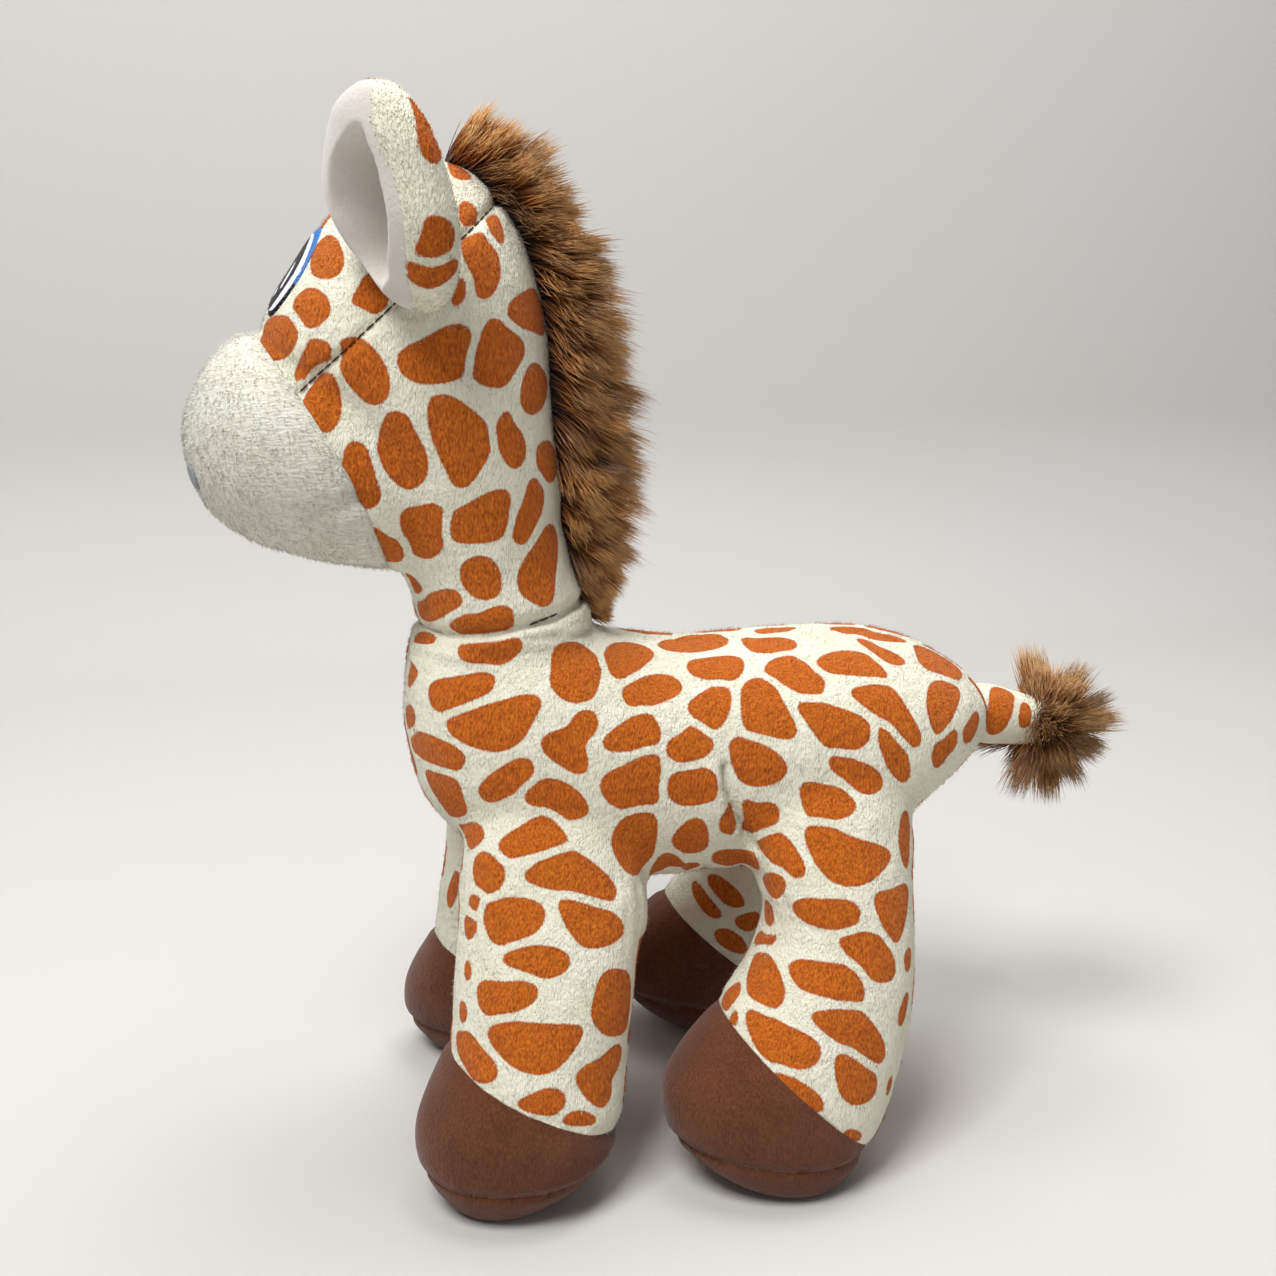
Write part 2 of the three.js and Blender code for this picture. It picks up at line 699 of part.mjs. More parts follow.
const eyeSeatShares = { behind: -0.75, rise: 0.752 };
const eyeSplayShare = 0.42;
const nostrilSeatShares = { behind: -1.03, rise: 0.335 };
const nostrilSplayShare = 0.3;
for (const side of [-1, 1]) {
  const sideName = side < 0 ? "left" : "right";
  const eyeSeat = headPlace(eyeSeatShares.behind, eyeSeatShares.rise);
  eyeSeat.y = (side * eyeSpacing) / 2;
  const eye = threadPad(eyeWidth, eyeHeight, eyeSeat, eyeSplayShare, side);
  addPiece(`eye_embroidery_${sideName}`, eye, eyeThread);
  const nostrilSeat = headPlace(nostrilSeatShares.behind, nostrilSeatShares.rise);
  nostrilSeat.y = (side * nostrilSpacing) / 2;
  const nostril = threadPad(nostrilWidth, nostrilHeight, nostrilSeat, nostrilSplayShare, side);
  addPiece(`nostril_embroidery_${sideName}`, nostril, nostrilThread);
}

// Mane: a backing strip down the nape and the long pile that stands on it. A section has its depth and
// height on the nape, how far the pile stands out and how wide it is.
const maneSectionShares = [
  [0.285, 0.015, 0.5, 0.5],
  [0.255, 0.09, 0.8, 0.85],
  [0.215, 0.24, 0.92, 1],
  [0.192, 0.41, 1, 1],
  [0.175, 0.58, 0.98, 1],
  [0.14, 0.74, 0.8, 0.95],
  [0.05, 0.875, 0.62, 0.85],
  [-0.07, 0.965, 0.52, 0.7],
  [-0.18, 1, 0.38, 0.5],
];
const manePoleShares = { start: [0.35, -0.008], end: [-0.25, 1.01] };

function maneForm() {
  const path = maneSectionShares.map(([depth, height]) => headPlace(depth, height));
  const rings = maneSectionShares.map(([, , reach, width], i) => {
    const run = path[Math.min(i + 1, path.length - 1)].clone().sub(path[Math.max(i - 1, 0)]);
    const outward = run.cross(left).normalize();
    if (outward.dot(path[i].clone().sub(headPlace(muzzleSeatShares.tip, 0))) < 0) outward.negate();
    const stand = reach * maneHeight;
    return {
      centre: path[i].clone().addScaledVector(outward, (stand - maneRootDepth) / 2),
      across: outward.multiplyScalar((stand + maneRootDepth) / 2),
      rise: right.clone().multiplyScalar((width * maneThickness) / 2),
    };
  });
  return stuffedForm(headPlace(...manePoleShares.start), rings, headPlace(...manePoleShares.end), maneSides);
}

const slab = (width) =>
  beyond(point(0, -width / 2, 0), right).intersect(beyond(point(0, width / 2, 0), left));
const mane = grown(maneForm(), 0);
const maneBacking = headBody(gap + maneBackingThickness)
  .subtract(headClear)
  .intersect(slab(maneBackingWidth))
  .intersect(grown(maneForm(), -maneBackingInset));
addPiece("mane_backing", maneBacking, backingCloth);
const backingClear = headBody(2 * gap + maneBackingThickness).intersect(slab(maneBackingWidth + 2 * gap));
addPiece("mane_pile", cutBy(mane, [headClear, backingClear]), longPile);

// The tail's cover and filling, and the tuft of pile sewn over its end.
const tailHem = tailRoot.clone().addScaledVector(tailAxis, -tailHemDepth);
const tailAhead = beyond(tailHem, tailAxis);
addPiece("tail_cover", tailBody(0).subtract(tailBody(-coverThickness)).intersect(tailAhead), printedPlush);
const tailBallEnd = tailBall(0).intersect(
  beyond(tailHem.clone().addScaledVector(tailAxis, -gap), tailAxis.clone().negate()),
);
addPiece("tail_filling", tailBody(-coverThickness - gap).add(tailBallEnd), fibreFill);

const tuftSeatShares = { along: 0.42, drop: 0.06 };
const tuftSectionShares = [
  [0.05, -0.04, 0.45, 0.5],
  [0.16, -0.02, 0.76, 0.78],
  [0.33, 0.0, 0.97, 0.97],
  [0.52, 0.0, 1, 1],
  [0.7, -0.01, 0.93, 0.92],
  [0.86, -0.02, 0.7, 0.7],
  [0.96, -0.03, 0.4, 0.4],
];

function tuftForm() {
  const seat = tailPlace(tuftSeatShares.along);
  const place = (along, rise) => seat.clone().add(point(along * tuftLength, 0, rise * tuftHeight));
  const rings = tuftSectionShares.map(([along, rise, height, width]) => ({
    centre: place(along, rise - tuftSeatShares.drop),
    across: right.clone().multiplyScalar((width * tuftWidth) / 2),
    rise: up.clone().multiplyScalar((height * tuftHeight) / 2),
  }));
  return stuffedForm(place(0, -tuftSeatShares.drop), rings, place(1, -tuftSeatShares.drop), tuftSides);
}

addPiece("tail_tuft", grown(tuftForm(), 0).subtract(tailBody(gap)), longPile);

// The middle of the toy's length and width goes to the origin.
const extent = new THREE.Box3().setFromObject(toy);
const middle = extent.getCenter(new THREE.Vector3());
toy.children.forEach((mesh) => mesh.geometry.translate(-middle.x, -middle.y, 0));

export default toy;
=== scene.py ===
"""Sews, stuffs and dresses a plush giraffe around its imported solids."""

import json
import math

import bmesh
import bpy
import numpy as np
from mathutils import Matrix, Vector, noise
from mathutils.bvhtree import BVHTree
from mathutils.kdtree import KDTree

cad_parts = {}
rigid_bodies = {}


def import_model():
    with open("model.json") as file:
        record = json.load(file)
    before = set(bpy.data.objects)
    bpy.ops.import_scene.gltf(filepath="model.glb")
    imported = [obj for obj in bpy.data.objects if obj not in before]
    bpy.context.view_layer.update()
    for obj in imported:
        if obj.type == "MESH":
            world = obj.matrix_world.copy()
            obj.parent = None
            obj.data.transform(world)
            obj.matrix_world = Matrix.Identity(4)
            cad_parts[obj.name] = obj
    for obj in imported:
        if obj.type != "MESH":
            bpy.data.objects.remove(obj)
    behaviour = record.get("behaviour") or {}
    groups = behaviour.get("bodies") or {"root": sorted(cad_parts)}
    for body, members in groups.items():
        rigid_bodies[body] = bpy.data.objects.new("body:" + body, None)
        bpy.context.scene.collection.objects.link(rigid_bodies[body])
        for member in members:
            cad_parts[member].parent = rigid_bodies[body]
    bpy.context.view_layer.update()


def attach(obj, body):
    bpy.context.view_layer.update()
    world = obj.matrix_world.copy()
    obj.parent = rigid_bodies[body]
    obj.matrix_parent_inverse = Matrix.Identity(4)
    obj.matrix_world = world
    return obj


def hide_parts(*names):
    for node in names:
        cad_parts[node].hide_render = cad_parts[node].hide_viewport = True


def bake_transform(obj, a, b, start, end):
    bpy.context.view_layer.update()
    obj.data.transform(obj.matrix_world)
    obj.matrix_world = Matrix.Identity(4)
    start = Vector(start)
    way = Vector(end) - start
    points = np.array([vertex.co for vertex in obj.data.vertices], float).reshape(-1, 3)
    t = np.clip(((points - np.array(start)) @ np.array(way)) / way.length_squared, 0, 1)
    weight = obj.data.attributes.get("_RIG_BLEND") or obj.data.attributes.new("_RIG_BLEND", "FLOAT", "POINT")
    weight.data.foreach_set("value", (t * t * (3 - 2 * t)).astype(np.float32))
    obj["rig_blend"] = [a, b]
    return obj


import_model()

bl_info = {
    "name": "Plush giraffe",
    "version": (1, 0, 0),
    "blender": (4, 5, 0),
    "location": "View3D > Sidebar > Plush giraffe",
    "description": "Sews, stuffs and dresses a plush giraffe around its solids",
    "category": "Add Mesh",
}

LEFT, RIGHT = -1, 1
SIDE_NAMES = {LEFT: "left", RIGHT: "right"}
UP = np.array([0.0, 0.0, 1.0])
ACROSS = np.array([0.0, 1.0, 0.0])
ALONG = np.array([1.0, 0.0, 0.0])
LEAST_LENGTH = 1e-9

# The torso: share of its length, then its bottom, top and width as shares of its height and width.
TORSO_SECTIONS = (
    (0.0, 0.71, 0.71, 0.0),
    (0.02, 0.43, 1.02, 0.48),
    (0.07, 0.25, 1.12, 0.74),
    (0.139, 0.11, 1.13, 0.87),
    (0.223, 0.02, 1.11, 0.95),
    (0.33, 0.0, 1.01, 0.98),
    (0.42, 0.0, 0.965, 0.965),
    (0.516, 0.01, 0.955, 0.95),
    (0.627, 0.02, 0.965, 0.985),
    (0.725, 0.04, 0.97, 1.0),
    (0.808, 0.16, 0.945, 0.97),
    (0.878, 0.285, 0.895, 0.86),
    (0.934, 0.4, 0.82, 0.7),
    (0.976, 0.505, 0.72, 0.44),
    (1.0, 0.59, 0.59, 0.0),
)
TORSO_ROUNDNESS = 2.25
NECK_SEAT = (0.171, 1.117)

# The seam round the neck rises backwards. The darts over the hind legs run down the flanks: place
# along the torso, rise and half width.
NECK_SEAM_SLOPE = 0.16
FLANK_DART = (
    (0.493, 0.561, 0.95),
    (0.497, 0.472, 0.957),
    (0.512, 0.364, 0.93),
    (0.532, 0.277, 0.883),
    (0.544, 0.203, 0.88),
)

# The neck and skull above the neck's seat: height, front, back and width.
SKULL_SECTIONS = (
    (-0.16, -0.22, 0.22, 0.5),
    (-0.1, -0.3, 0.29, 0.68),
    (0.0, -0.335, 0.305, 0.78),
    (0.045, -0.348, 0.29, 0.79),
    (0.1, -0.38, 0.255, 0.78),
    (0.192, -0.46, 0.22, 0.83),
    (0.293, -0.53, 0.215, 0.9),
    (0.394, -0.6, 0.195, 0.962),
    (0.495, -0.72, 0.184, 1.0),
    (0.596, -0.84, 0.176, 1.0),
    (0.677, -0.8, 0.16, 0.98),
    (0.758, -0.708, 0.136, 0.925),
    (0.838, -0.622, 0.088, 0.81),
    (0.909, -0.52, 0.016, 0.66),
    (0.97, -0.36, -0.072, 0.415),
    (1.0, -0.2, -0.2, 0.0),
)
# The collar round the foot of the neck: height above the neck's seat, and fullness. It takes the
# neck's section a little higher up, and leans with the seam from its foot on.
COLLAR_FOOT, COLLAR_LEAN_RUN = -0.2, 0.15
COLLAR_LOWEST, COLLAR_SECTION_LIFT = -0.1, 0.03
COLLAR_SECTIONS = (
    (-0.2, 0.8),
    (-0.17, 1.0),
    (-0.12, 1.0),
    (-0.07, 1.0),
    (-0.035, 1.0),
    (-0.018, 0.97),
    (-0.014, 0.0),
)
# The muzzle from its tip: share of its length, rise of its middle, height and width.
MUZZLE_SEAT = (-1.108, 0.343)
MUZZLE_SECTIONS = (
    (0.0, 0.137, 0.0, 0.0),
    (0.018, 0.12, 0.29, 0.283),
    (0.069, 0.11, 0.58, 0.566),
    (0.145, 0.125, 0.8, 0.755),
    (0.237, 0.12, 0.945, 0.887),
    (0.359, 0.09, 0.985, 0.965),
    (0.481, 0.045, 1.0, 0.99),
    (0.634, -0.02, 0.95, 0.92),
    (0.817, -0.08, 0.8, 0.7),
    (1.0, 0.0, 0.0, 0.0),
)
MUZZLE_SEAM = ((-0.818, 0.609), (-0.424, 0.111))
CROWN_SEAM = ((-0.68, 0.527), (0.024, 0.925))
CROWN_SEAM_LEAD = 0.005
MOUTH_SEAM = ((-0.456, 0.313), (-0.744, 0.242))
MOUTH_LENGTH, MOUTH_DEPTH, MOUTH_WIDTH = 0.026, 0.0016, 0.0022

# A leg from inside the torso to its sole: height, front, back, spread and width.
LEGS = {
    "front": {
        "place": 0.153,
        "hip": 0.517,
        "hip_pole": 0.213,
        "sole_pole": 0.0,
        "sections": (
            (0.9, -0.14, 0.55, 0.08, 0.66),
            (0.76, -0.234, 0.67, 0.2, 0.85),
            (0.65, -0.255, 0.68, 0.35, 0.925),
            (0.53, -0.287, 0.617, 0.515, 0.95),
            (0.4, -0.319, 0.564, 0.68, 0.95),
            (0.28, -0.447, 0.532, 0.82, 0.975),
            (0.2, -0.5, 0.5, 0.905, 1.0),
            (0.12, -0.489, 0.445, 0.965, 0.95),
            (0.05, -0.41, 0.29, 0.99, 0.73),
            (0.003, -0.3, 0.12, 1.0, 0.46),
        ),
        "hoof_seam": ((-0.31, 0.375), (0.477, 0.18)),
        "sole_tilt": 0.02,
    },
    "hind": {
        "place": 0.566,
        "hip": 0.65,
        "hip_pole": 0.33,
        "sole_pole": 0.105,
        "sections": (
            (0.89, 0.03, 0.63, 0.08, 0.66),
            (0.759, -0.06, 0.69, 0.2, 0.875),
            (0.667, -0.025, 0.68, 0.32, 0.925),
            (0.583, 0.0, 0.675, 0.44, 0.925),
            (0.481, -0.085, 0.66, 0.6, 0.925),
            (0.389, -0.24, 0.64, 0.72, 0.925),
            (0.296, -0.42, 0.6, 0.84, 0.95),
            (0.222, -0.5, 0.55, 0.92, 0.975),
            (0.139, -0.463, 0.49, 0.965, 0.975),
            (0.06, -0.33, 0.4, 0.99, 0.86),
            (0.003, -0.14, 0.3, 1.0, 0.6),
        ),
        "hoof_seam": ((-0.317, 0.444), (0.406, 0.085)),
        "sole_tilt": 0.12,
    },
}

# The tail's root, then its thickness along its length.
TAIL_SEAT = (0.993, 0.575)
TAIL_DROOP = 0.22
TAIL_TAPER = ((-0.3, 0.9), (0.06, 1.2), (0.3, 1.14), (0.6, 1.0), (0.88, 0.8), (0.97, 0.5))

# The ears: seat on the head, lean of the leaf and way it faces. Then along its length, as shares of
# its width: how far its middle lies towards its rear edge, half width and half thickness, the
# hollow's front edge, rear edge and depth, and where round the leaf its printed back starts.
EAR_SEAT = (-0.35, 0.71, 1.02)
EAR_LEAN = (0.1, 0.36)
EAR_FACE = (0.72, 0.69)
EAR_SECTIONS = (
    (-0.03, 0.19, 0.0, 0.0, -0.2, -0.15, 0.0, 75),
    (-0.01, 0.19, 0.16, 0.1, -0.2, -0.15, 0.0, 75),
    (0.045, 0.172, 0.29, 0.19, -0.2, -0.15, 0.0, 70),
    (0.104, 0.157, 0.37, 0.24, -0.22, -0.12, 0.03, 66),
    (0.18, 0.125, 0.45, 0.27, -0.33, 0.04, 0.3, 66),
    (0.27, 0.072, 0.54, 0.3, -0.37, 0.13, 0.45, 62),
    (0.385, 0.014, 0.61, 0.335, -0.37, 0.24, 0.56, 57),
    (0.5, -0.016, 0.62, 0.34, -0.37, 0.28, 0.58, 54),
    (0.633, -0.027, 0.57, 0.31, -0.32, 0.24, 0.48, 56),
    (0.72, -0.026, 0.525, 0.285, -0.24, 0.19, 0.32, 62),
    (0.78, -0.024, 0.485, 0.265, -0.15, 0.14, 0.12, 68),
    (0.86, -0.02, 0.405, 0.225, -0.05, 0.1, 0.0, 72),
    (0.928, -0.008, 0.292, 0.17, -0.05, 0.1, 0.0, 72),
    (0.968, 0.0, 0.196, 0.12, -0.05, 0.1, 0.0, 72),
    (0.988, 0.0, 0.12, 0.075, -0.05, 0.1, 0.0, 72),
    (0.997, 0.0, 0.0, 0.0, -0.05, 0.1, 0.0, 72),
)
EAR_BACK_END = -164
EAR_LINING_SIDES, EAR_BACK_SIDES = 144, 49

EYE_SEAT, EYE_SPLAY = (-0.75, 0.763), 0.42
NOSTRIL_SEAT, NOSTRIL_SPLAY = (-1.03, 0.335), 0.3

# The loose thread of the neck's seam, as the photograph shows it.
NECK_THREAD = ((529, 625), (537, 622), (546, 618), (554, 614), (562, 611))

# The mane down the nape: depth and height on the head, reach of the pile and its width.
MANE_SECTIONS = (
    (0.33, -0.035, 0.16, 0.3),
    (0.285, 0.015, 0.3, 0.55),
    (0.25, 0.085, 0.54, 0.85),
    (0.215, 0.24, 0.84, 1.0),
    (0.192, 0.41, 0.96, 1.0),
    (0.175, 0.58, 0.98, 1.0),
    (0.14, 0.74, 0.9, 0.95),
    (0.05, 0.875, 0.84, 0.9),
    (-0.07, 0.965, 0.76, 0.75),
    (-0.17, 1.0, 0.62, 0.55),
)

# The mane's pile. Its fibres fan out sideways by angles, from roots that spread a little.
MANE_FIBRES, MANE_LOCKS, MANE_CROWDING = 24000, 420, 0.95
MANE_FAN, MANE_FAN_LIMIT = 0.62, 1.45
MANE_ROOT_SPREAD, MANE_ROOT_DEPTH = 0.26, (-0.002, 0.0035)
MANE_LENGTHS, MANE_SIDE_LOSS = (0.72, 1.02), 0.3
# They hang heavily at random, more over the lower part and most at the lower end, or stand up.
MANE_WEIGHTS, MANE_LOWER_WEIGHT, MANE_END_WEIGHT = (0.0, 0.34), 0.3, 0.5
MANE_LIFTS = (-0.2, 0.05)
# The tips of a lock draw together, and a lock and a fibre stray by themselves.
MANE_CLUMP, MANE_LOCK_WIDTH = 0.68, 0.011
MANE_LOCK_REACH, MANE_LOCK_STRAY, MANE_FIBRE_STRAY = (-0.16, 0.2), 0.1, 0.0007
MANE_BOW, MANE_BOW_STRAY = 0.04, 0.0003
MANE_TINT, MANE_TINT_SPREAD, MANE_ROOT_TINT = 0.6, 0.26, 0.15
# Its dense foot: how far it stands out and sinks in, and half its width.
MANE_FOOT_REACH, MANE_FOOT_SINK, MANE_FOOT_WIDTH, MANE_FOOT_END = 0.42, 0.001, 0.3, 0.01

# The tuft: fibres, locks, share of loose fibres, and its middle along the tail.
TUFT_FIBRES, TUFT_LOCKS, TUFT_LOOSE, TUFT_MIDDLE = 12500, 26, 0.36, 0.89
# How far round its locks go and stray, and the least that a fibre may point along the tail.
TUFT_ROUND, TUFT_LOCK_STRAY, TUFT_LEAST_AIM = 1.62, 0.12, -0.7
# How far fibres stray from their lock and draw back to it, and their share of its length.
LOOSE_FIBRE = {"stray": 0.5, "draw": 0.1, "length": 0.7}
LOCKED_FIBRE = {"stray": 0.15, "draw": 0.5, "length": 1.0}
TUFT_ROOT_REACH, TUFT_ROOT_SPREAD = 0.002, 0.2
TUFT_LOCK_LENGTHS, TUFT_FIBRE_LENGTHS, TUFT_BOW = (0.72, 1.0), (0.62, 1.0), 0.0005
TUFT_TINT, TUFT_TINT_SPREAD = 0.18, 0.16

# The print's patches on the side that the camera sees, as rough outlines drawn in the photograph's frame of 1276
# by 1276. The rest of the print is grown from random seeds.
PRINT_PATCHES = (
    # Face and neck
    "318,229 325,237 335,240 340,252 342,264 336,275 322,277 312,270 314,250",
    "305,290 318,292 328,303 327,316 312,327 303,320 293,304",
    "268,320 290,318 297,333 293,348 275,359 265,352 262,335",
    "367,275 378,278 388,290 397,298 385,303 376,312 365,305 353,301 360,290",
    "311,341 325,344 333,350 328,362 315,372 306,385 297,380 298,370 307,352",
    "318,370 329,370 337,390 339,410 333,427 322,431 313,418 306,395 308,382",
    "340,345 352,339 366,345 378,358 386,375 387,392 378,402 366,400 352,385 342,368",
    "446,329 460,327 469,333 465,350 466,370 452,379 430,381 410,378 400,366 401,352 428,341",
    "488,323 498,322 508,330 520,340 524,352 513,370 504,384 490,385 476,378 472,365 480,350",
    "530,367 538,366 547,380 546,395 540,408 530,413 522,405 523,385",
    "468,232 480,230 492,248 498,262 497,280 490,294 480,296 473,285 471,268 463,250",
    "461,202 475,208 486,213 480,222 471,231 462,227",
    "479,211 491,213 499,224 503,241 495,239 486,227",
    "450,163 460,168 470,176 462,179 451,175",
    "446,300 454,306 462,296 468,284 464,277 459,285 452,294",
    "533,289 540,300 546,320 545,335 532,328 515,323 508,312 514,300",
    "430,400 445,397 458,403 482,422 488,435 488,452 478,468 468,484 456,485 448,468 432,432",
    "507,411 512,425 522,438 524,452 520,464 512,466 504,455 498,440 498,425",
    "391,413 405,416 411,430 420,446 426,460 423,478 410,488 398,482 385,465 380,448 383,430",
    "349,445 361,445 368,458 372,478 379,495 374,505 358,507 345,500 343,480 346,460",
    "540,445 550,443 556,455 555,475 548,482 540,470 537,455",
    "505,491 508,500 505,515 507,527 498,538 475,541 455,540 449,530 452,515 470,506 488,495",
    "530,482 538,480 543,492 541,510 533,526 525,541 518,542 513,533 520,515 527,498",
    "401,513 418,510 433,505 443,512 442,530 440,548 428,557 416,555 408,540",
    "362,530 375,530 386,538 400,543 403,552 395,563 380,569 370,560 362,545",
    "470,560 485,558 495,567 499,580 497,595 482,598 470,592 463,580 463,568",
    "548,525 555,530 557,545 553,580 551,600 543,605 533,600 522,592 520,575 526,560 537,545",
    "396,575 405,573 415,580 423,592 415,593 402,585",
    "446,591 457,593 461,602 448,612 430,620 420,615 418,603 430,597",
    "452,623 465,617 480,617 495,609 505,608 511,613 510,630 490,634 470,633 454,630",
    # Chest and flank
    "415,636 425,634 436,639 428,643 417,641",
    "460,645 480,641 505,638 517,639 521,647 512,656 500,663 480,661 462,658",
    "406,645 410,660 416,670 416,678 408,688 403,678",
    "433,684 450,680 470,678 485,674 493,678 491,688 475,697 458,708 443,711 433,705 430,694",
    "555,650 565,645 580,645 592,653 599,665 597,680 592,697 575,701 560,695 552,683 555,668",
    "612,645 625,643 640,645 653,653 645,662 632,672 622,679 612,673 605,658",
    "640,680 655,676 670,677 680,685 678,693 660,700 640,706 628,703 624,692 630,684",
    "406,709 412,707 415,718 412,728 407,724",
    "412,737 422,733 440,742 458,751 464,760 455,770 442,768 425,757 412,746",
    "448,718 460,713 500,705 520,698 535,697 540,705 530,720 522,738 505,748 490,750 452,735",
    "426,772 435,773 450,775 458,785 462,800 466,810 460,820 450,815 440,800 432,788",
    "481,788 490,778 505,768 520,760 530,763 531,775 520,787 505,795 490,801 482,796",
    "541,745 550,735 570,730 576,718 585,712 594,715 596,728 580,744 586,760 583,774 558,762",
    "605,740 620,728 635,718 645,713 653,720 659,735 657,745 640,747 620,749 607,748",
    "602,785 608,775 632,765 645,755 655,754 658,765 657,785 657,802 640,805 620,807 607,798",
    "525,793 535,785 550,780 565,785 578,795 587,808 583,815 570,818 558,810 545,804 530,803",
    "500,850 503,840 520,830 535,820 547,818 557,828 567,842 555,848 535,850 508,857",
    "620,825 632,815 645,812 654,818 655,830 652,845 650,858 640,870 630,872 620,860 613,845",
    "456,824 470,823 480,828 482,840 472,850 464,844",
    "658,644 680,638 700,635 720,635 727,640 722,646 700,651 680,651 665,649",
    "742,638 755,640 775,638 790,640 796,646 785,651 765,652 750,650",
    "690,662 705,660 725,657 740,658 742,668 735,678 720,679 700,676 690,671",
    "764,670 775,660 787,655 800,662 815,673 823,682 820,693 808,695 795,688 780,680",
    "818,662 830,654 850,652 865,655 875,663 888,678 875,675 855,673 835,672 822,668",
    "743,697 745,686 755,680 765,681 775,690 780,702 793,725 794,735 785,737 758,730 745,728",
    "690,705 700,697 715,688 725,687 729,697 727,712 720,724 712,729 702,722 692,712",
    "798,706 808,701 825,706 860,718 868,727 868,737 860,746 845,749 828,746 818,735 810,722",
    "851,692 862,689 878,686 888,687 898,698 913,724 919,735 918,745 908,743 882,715 868,706",
    "879,728 888,730 897,742 905,755 908,770 906,781 897,776 888,762 882,745",
    "931,684 945,682 957,687 958,697 952,713 945,727 938,734 932,722 928,705",
    "855,634 875,647 890,652 905,662 895,664 882,658 870,648 860,642",
    "914,643 930,646 945,655 955,665 961,674 955,680 940,672 925,668 918,657",
    "667,745 675,740 683,737 690,728 700,730 710,740 711,749 700,757 685,761 672,757",
    "668,785 675,775 690,772 705,770 714,775 715,790 712,800 695,803 680,803 670,795",
    "730,745 738,739 750,743 765,748 778,757 785,768 780,778 765,784 750,784 738,775",
    "742,800 755,806 770,804 777,810 775,822 765,828 750,832 742,825",
    "728,803 735,815 738,828 730,833 722,830 724,815",
    "830,758 840,756 855,763 870,768 880,778 880,788 868,792 857,788 848,778 835,770",
    "802,790 806,784 820,787 838,790 850,798 855,808 845,815 825,818 808,815",
    "806,835 812,826 825,827 855,842 888,850 889,860 870,880 855,884 838,882 825,872 815,857",
    "757,842 765,836 778,834 788,842 797,855 803,868 802,875 792,875 780,865 768,855",
    "673,840 680,830 692,820 702,822 706,835 705,848 695,852 680,850",
    "713,853 730,851 745,852 757,860 758,870 740,868 720,866",
    "660,858 668,853 680,862 690,870 700,861 704,868 690,878 678,884 660,885 648,880",
    "902,817 907,812 909,825 908,840 908,860 906,868 902,855 900,838",
    "936,745 945,740 952,731 957,736 955,745 945,756 937,768 933,758",
    "966,728 974,715 978,714 977,725 972,738 966,742 963,735",
    "752,630 768,626 790,624 798,627 785,631 765,634",
    "830,628 845,627 870,631 892,636 908,642 885,641 858,636 840,632",
    # Front leg
    "478,852 485,855 497,860 503,870 500,885 490,895 480,888 474,875",
    "525,877 535,868 550,858 560,852 575,853 605,876 615,890 612,899 600,899 560,888 540,884",
    "483,908 490,902 510,900 530,901 543,910 540,925 525,937 505,943 493,940 487,925",
    "560,902 570,899 590,905 610,913 624,928 615,940 600,945 585,945 575,935 566,920",
    "503,960 515,950 530,948 550,949 565,955 568,965 558,973 545,976 530,970 515,965",
    "479,985 490,983 505,985 525,983 536,990 533,1000 520,1007 500,1013 487,1014 480,1003",
    "488,1035 497,1022 550,1027 580,1027 580,1037 562,1062 550,1070 535,1072 520,1068 505,1057",
    "602,975 615,971 630,974 635,988 632,1005 628,1025 618,1034 605,1033 596,1022 593,1010",
    "576,1078 585,1068 600,1062 616,1045 621,1050 618,1065 609,1078 610,1095 603,1106 592,1102",
    "456,1038 463,1032 472,1037 480,1050 492,1062 496,1073 490,1080 478,1080 468,1070",
    "506,1115 515,1105 530,1097 550,1090 562,1094 563,1105 553,1115 538,1121 520,1123",
    "556,1130 560,1122 572,1114 585,1114 598,1122 604,1135 590,1138 565,1138",
    "640,905 655,903 660,906 658,920 655,940 651,944 647,935 641,920",
    "466,1085 475,1085 482,1095 482,1105 470,1098",
    "625,1070 628,1058 634,1052 635,1060 631,1075",
    "470,898 480,896 480,905 476,912 472,908",
    "458,870 457,885 453,900 449,908 448,895 453,880",
    "468,962 470,975 467,978 466,968",
    "461,1002 466,1008 465,1018 461,1022",
    # Hind leg
    "762,878 775,874 785,880 783,890 775,898 768,888",
    "793,908 800,901 820,902 845,902 857,908 857,920 848,927 825,926 805,920",
    "875,895 890,893 905,885 908,892 904,920 900,935 895,942 888,930 880,915",
    "840,942 848,937 865,934 878,938 888,950 894,965 892,978 880,980 870,975 858,962",
    "789,968 797,962 815,964 840,966 855,972 861,985 862,1000 855,1001 815,992 800,985",
    "755,955 763,952 772,962 778,975 783,990 780,1003 770,1008 758,1000 748,990 749,975",
    "746,1012 758,1012 775,1022 812,1040 819,1050 815,1062 800,1067 782,1065 765,1055 755,1040",
    "812,1015 825,1013 845,1012 858,1010 878,1035 884,1050 882,1061 872,1062 858,1052 822,1028",
    "836,1060 845,1054 855,1058 868,1068 876,1080 873,1095 863,1102 850,1102 840,1090",
    "773,1071 785,1075 800,1085 815,1095 822,1105 818,1112 808,1108 795,1096 782,1083",
    "844,1134 850,1131 858,1134 860,1140 855,1145 848,1140",
    "754,940 762,932 773,932 775,940 765,945",
    "722,1000 729,990 738,984 740,988 734,1000 727,1010",
    "905,955 910,948 910,962 907,972",
    "899,1018 904,1000 908,992 906,1008 901,1026",
    "889,1083 891,1077 890,1088 887,1095",
    "735,1010 737,1022 733,1032 730,1022",
    "764,905 769,902 772,915 772,928 767,930",
    # Legs of the far side, seen under the belly
    "692,880 702,890 714,905 721,916 712,916 700,904",
    "707,876 720,878 735,890 744,904 735,906 720,898",
    "735,920 748,915 758,913 762,920 755,928 745,930",
    "715,932 728,930 742,940 746,952 735,951 722,944",
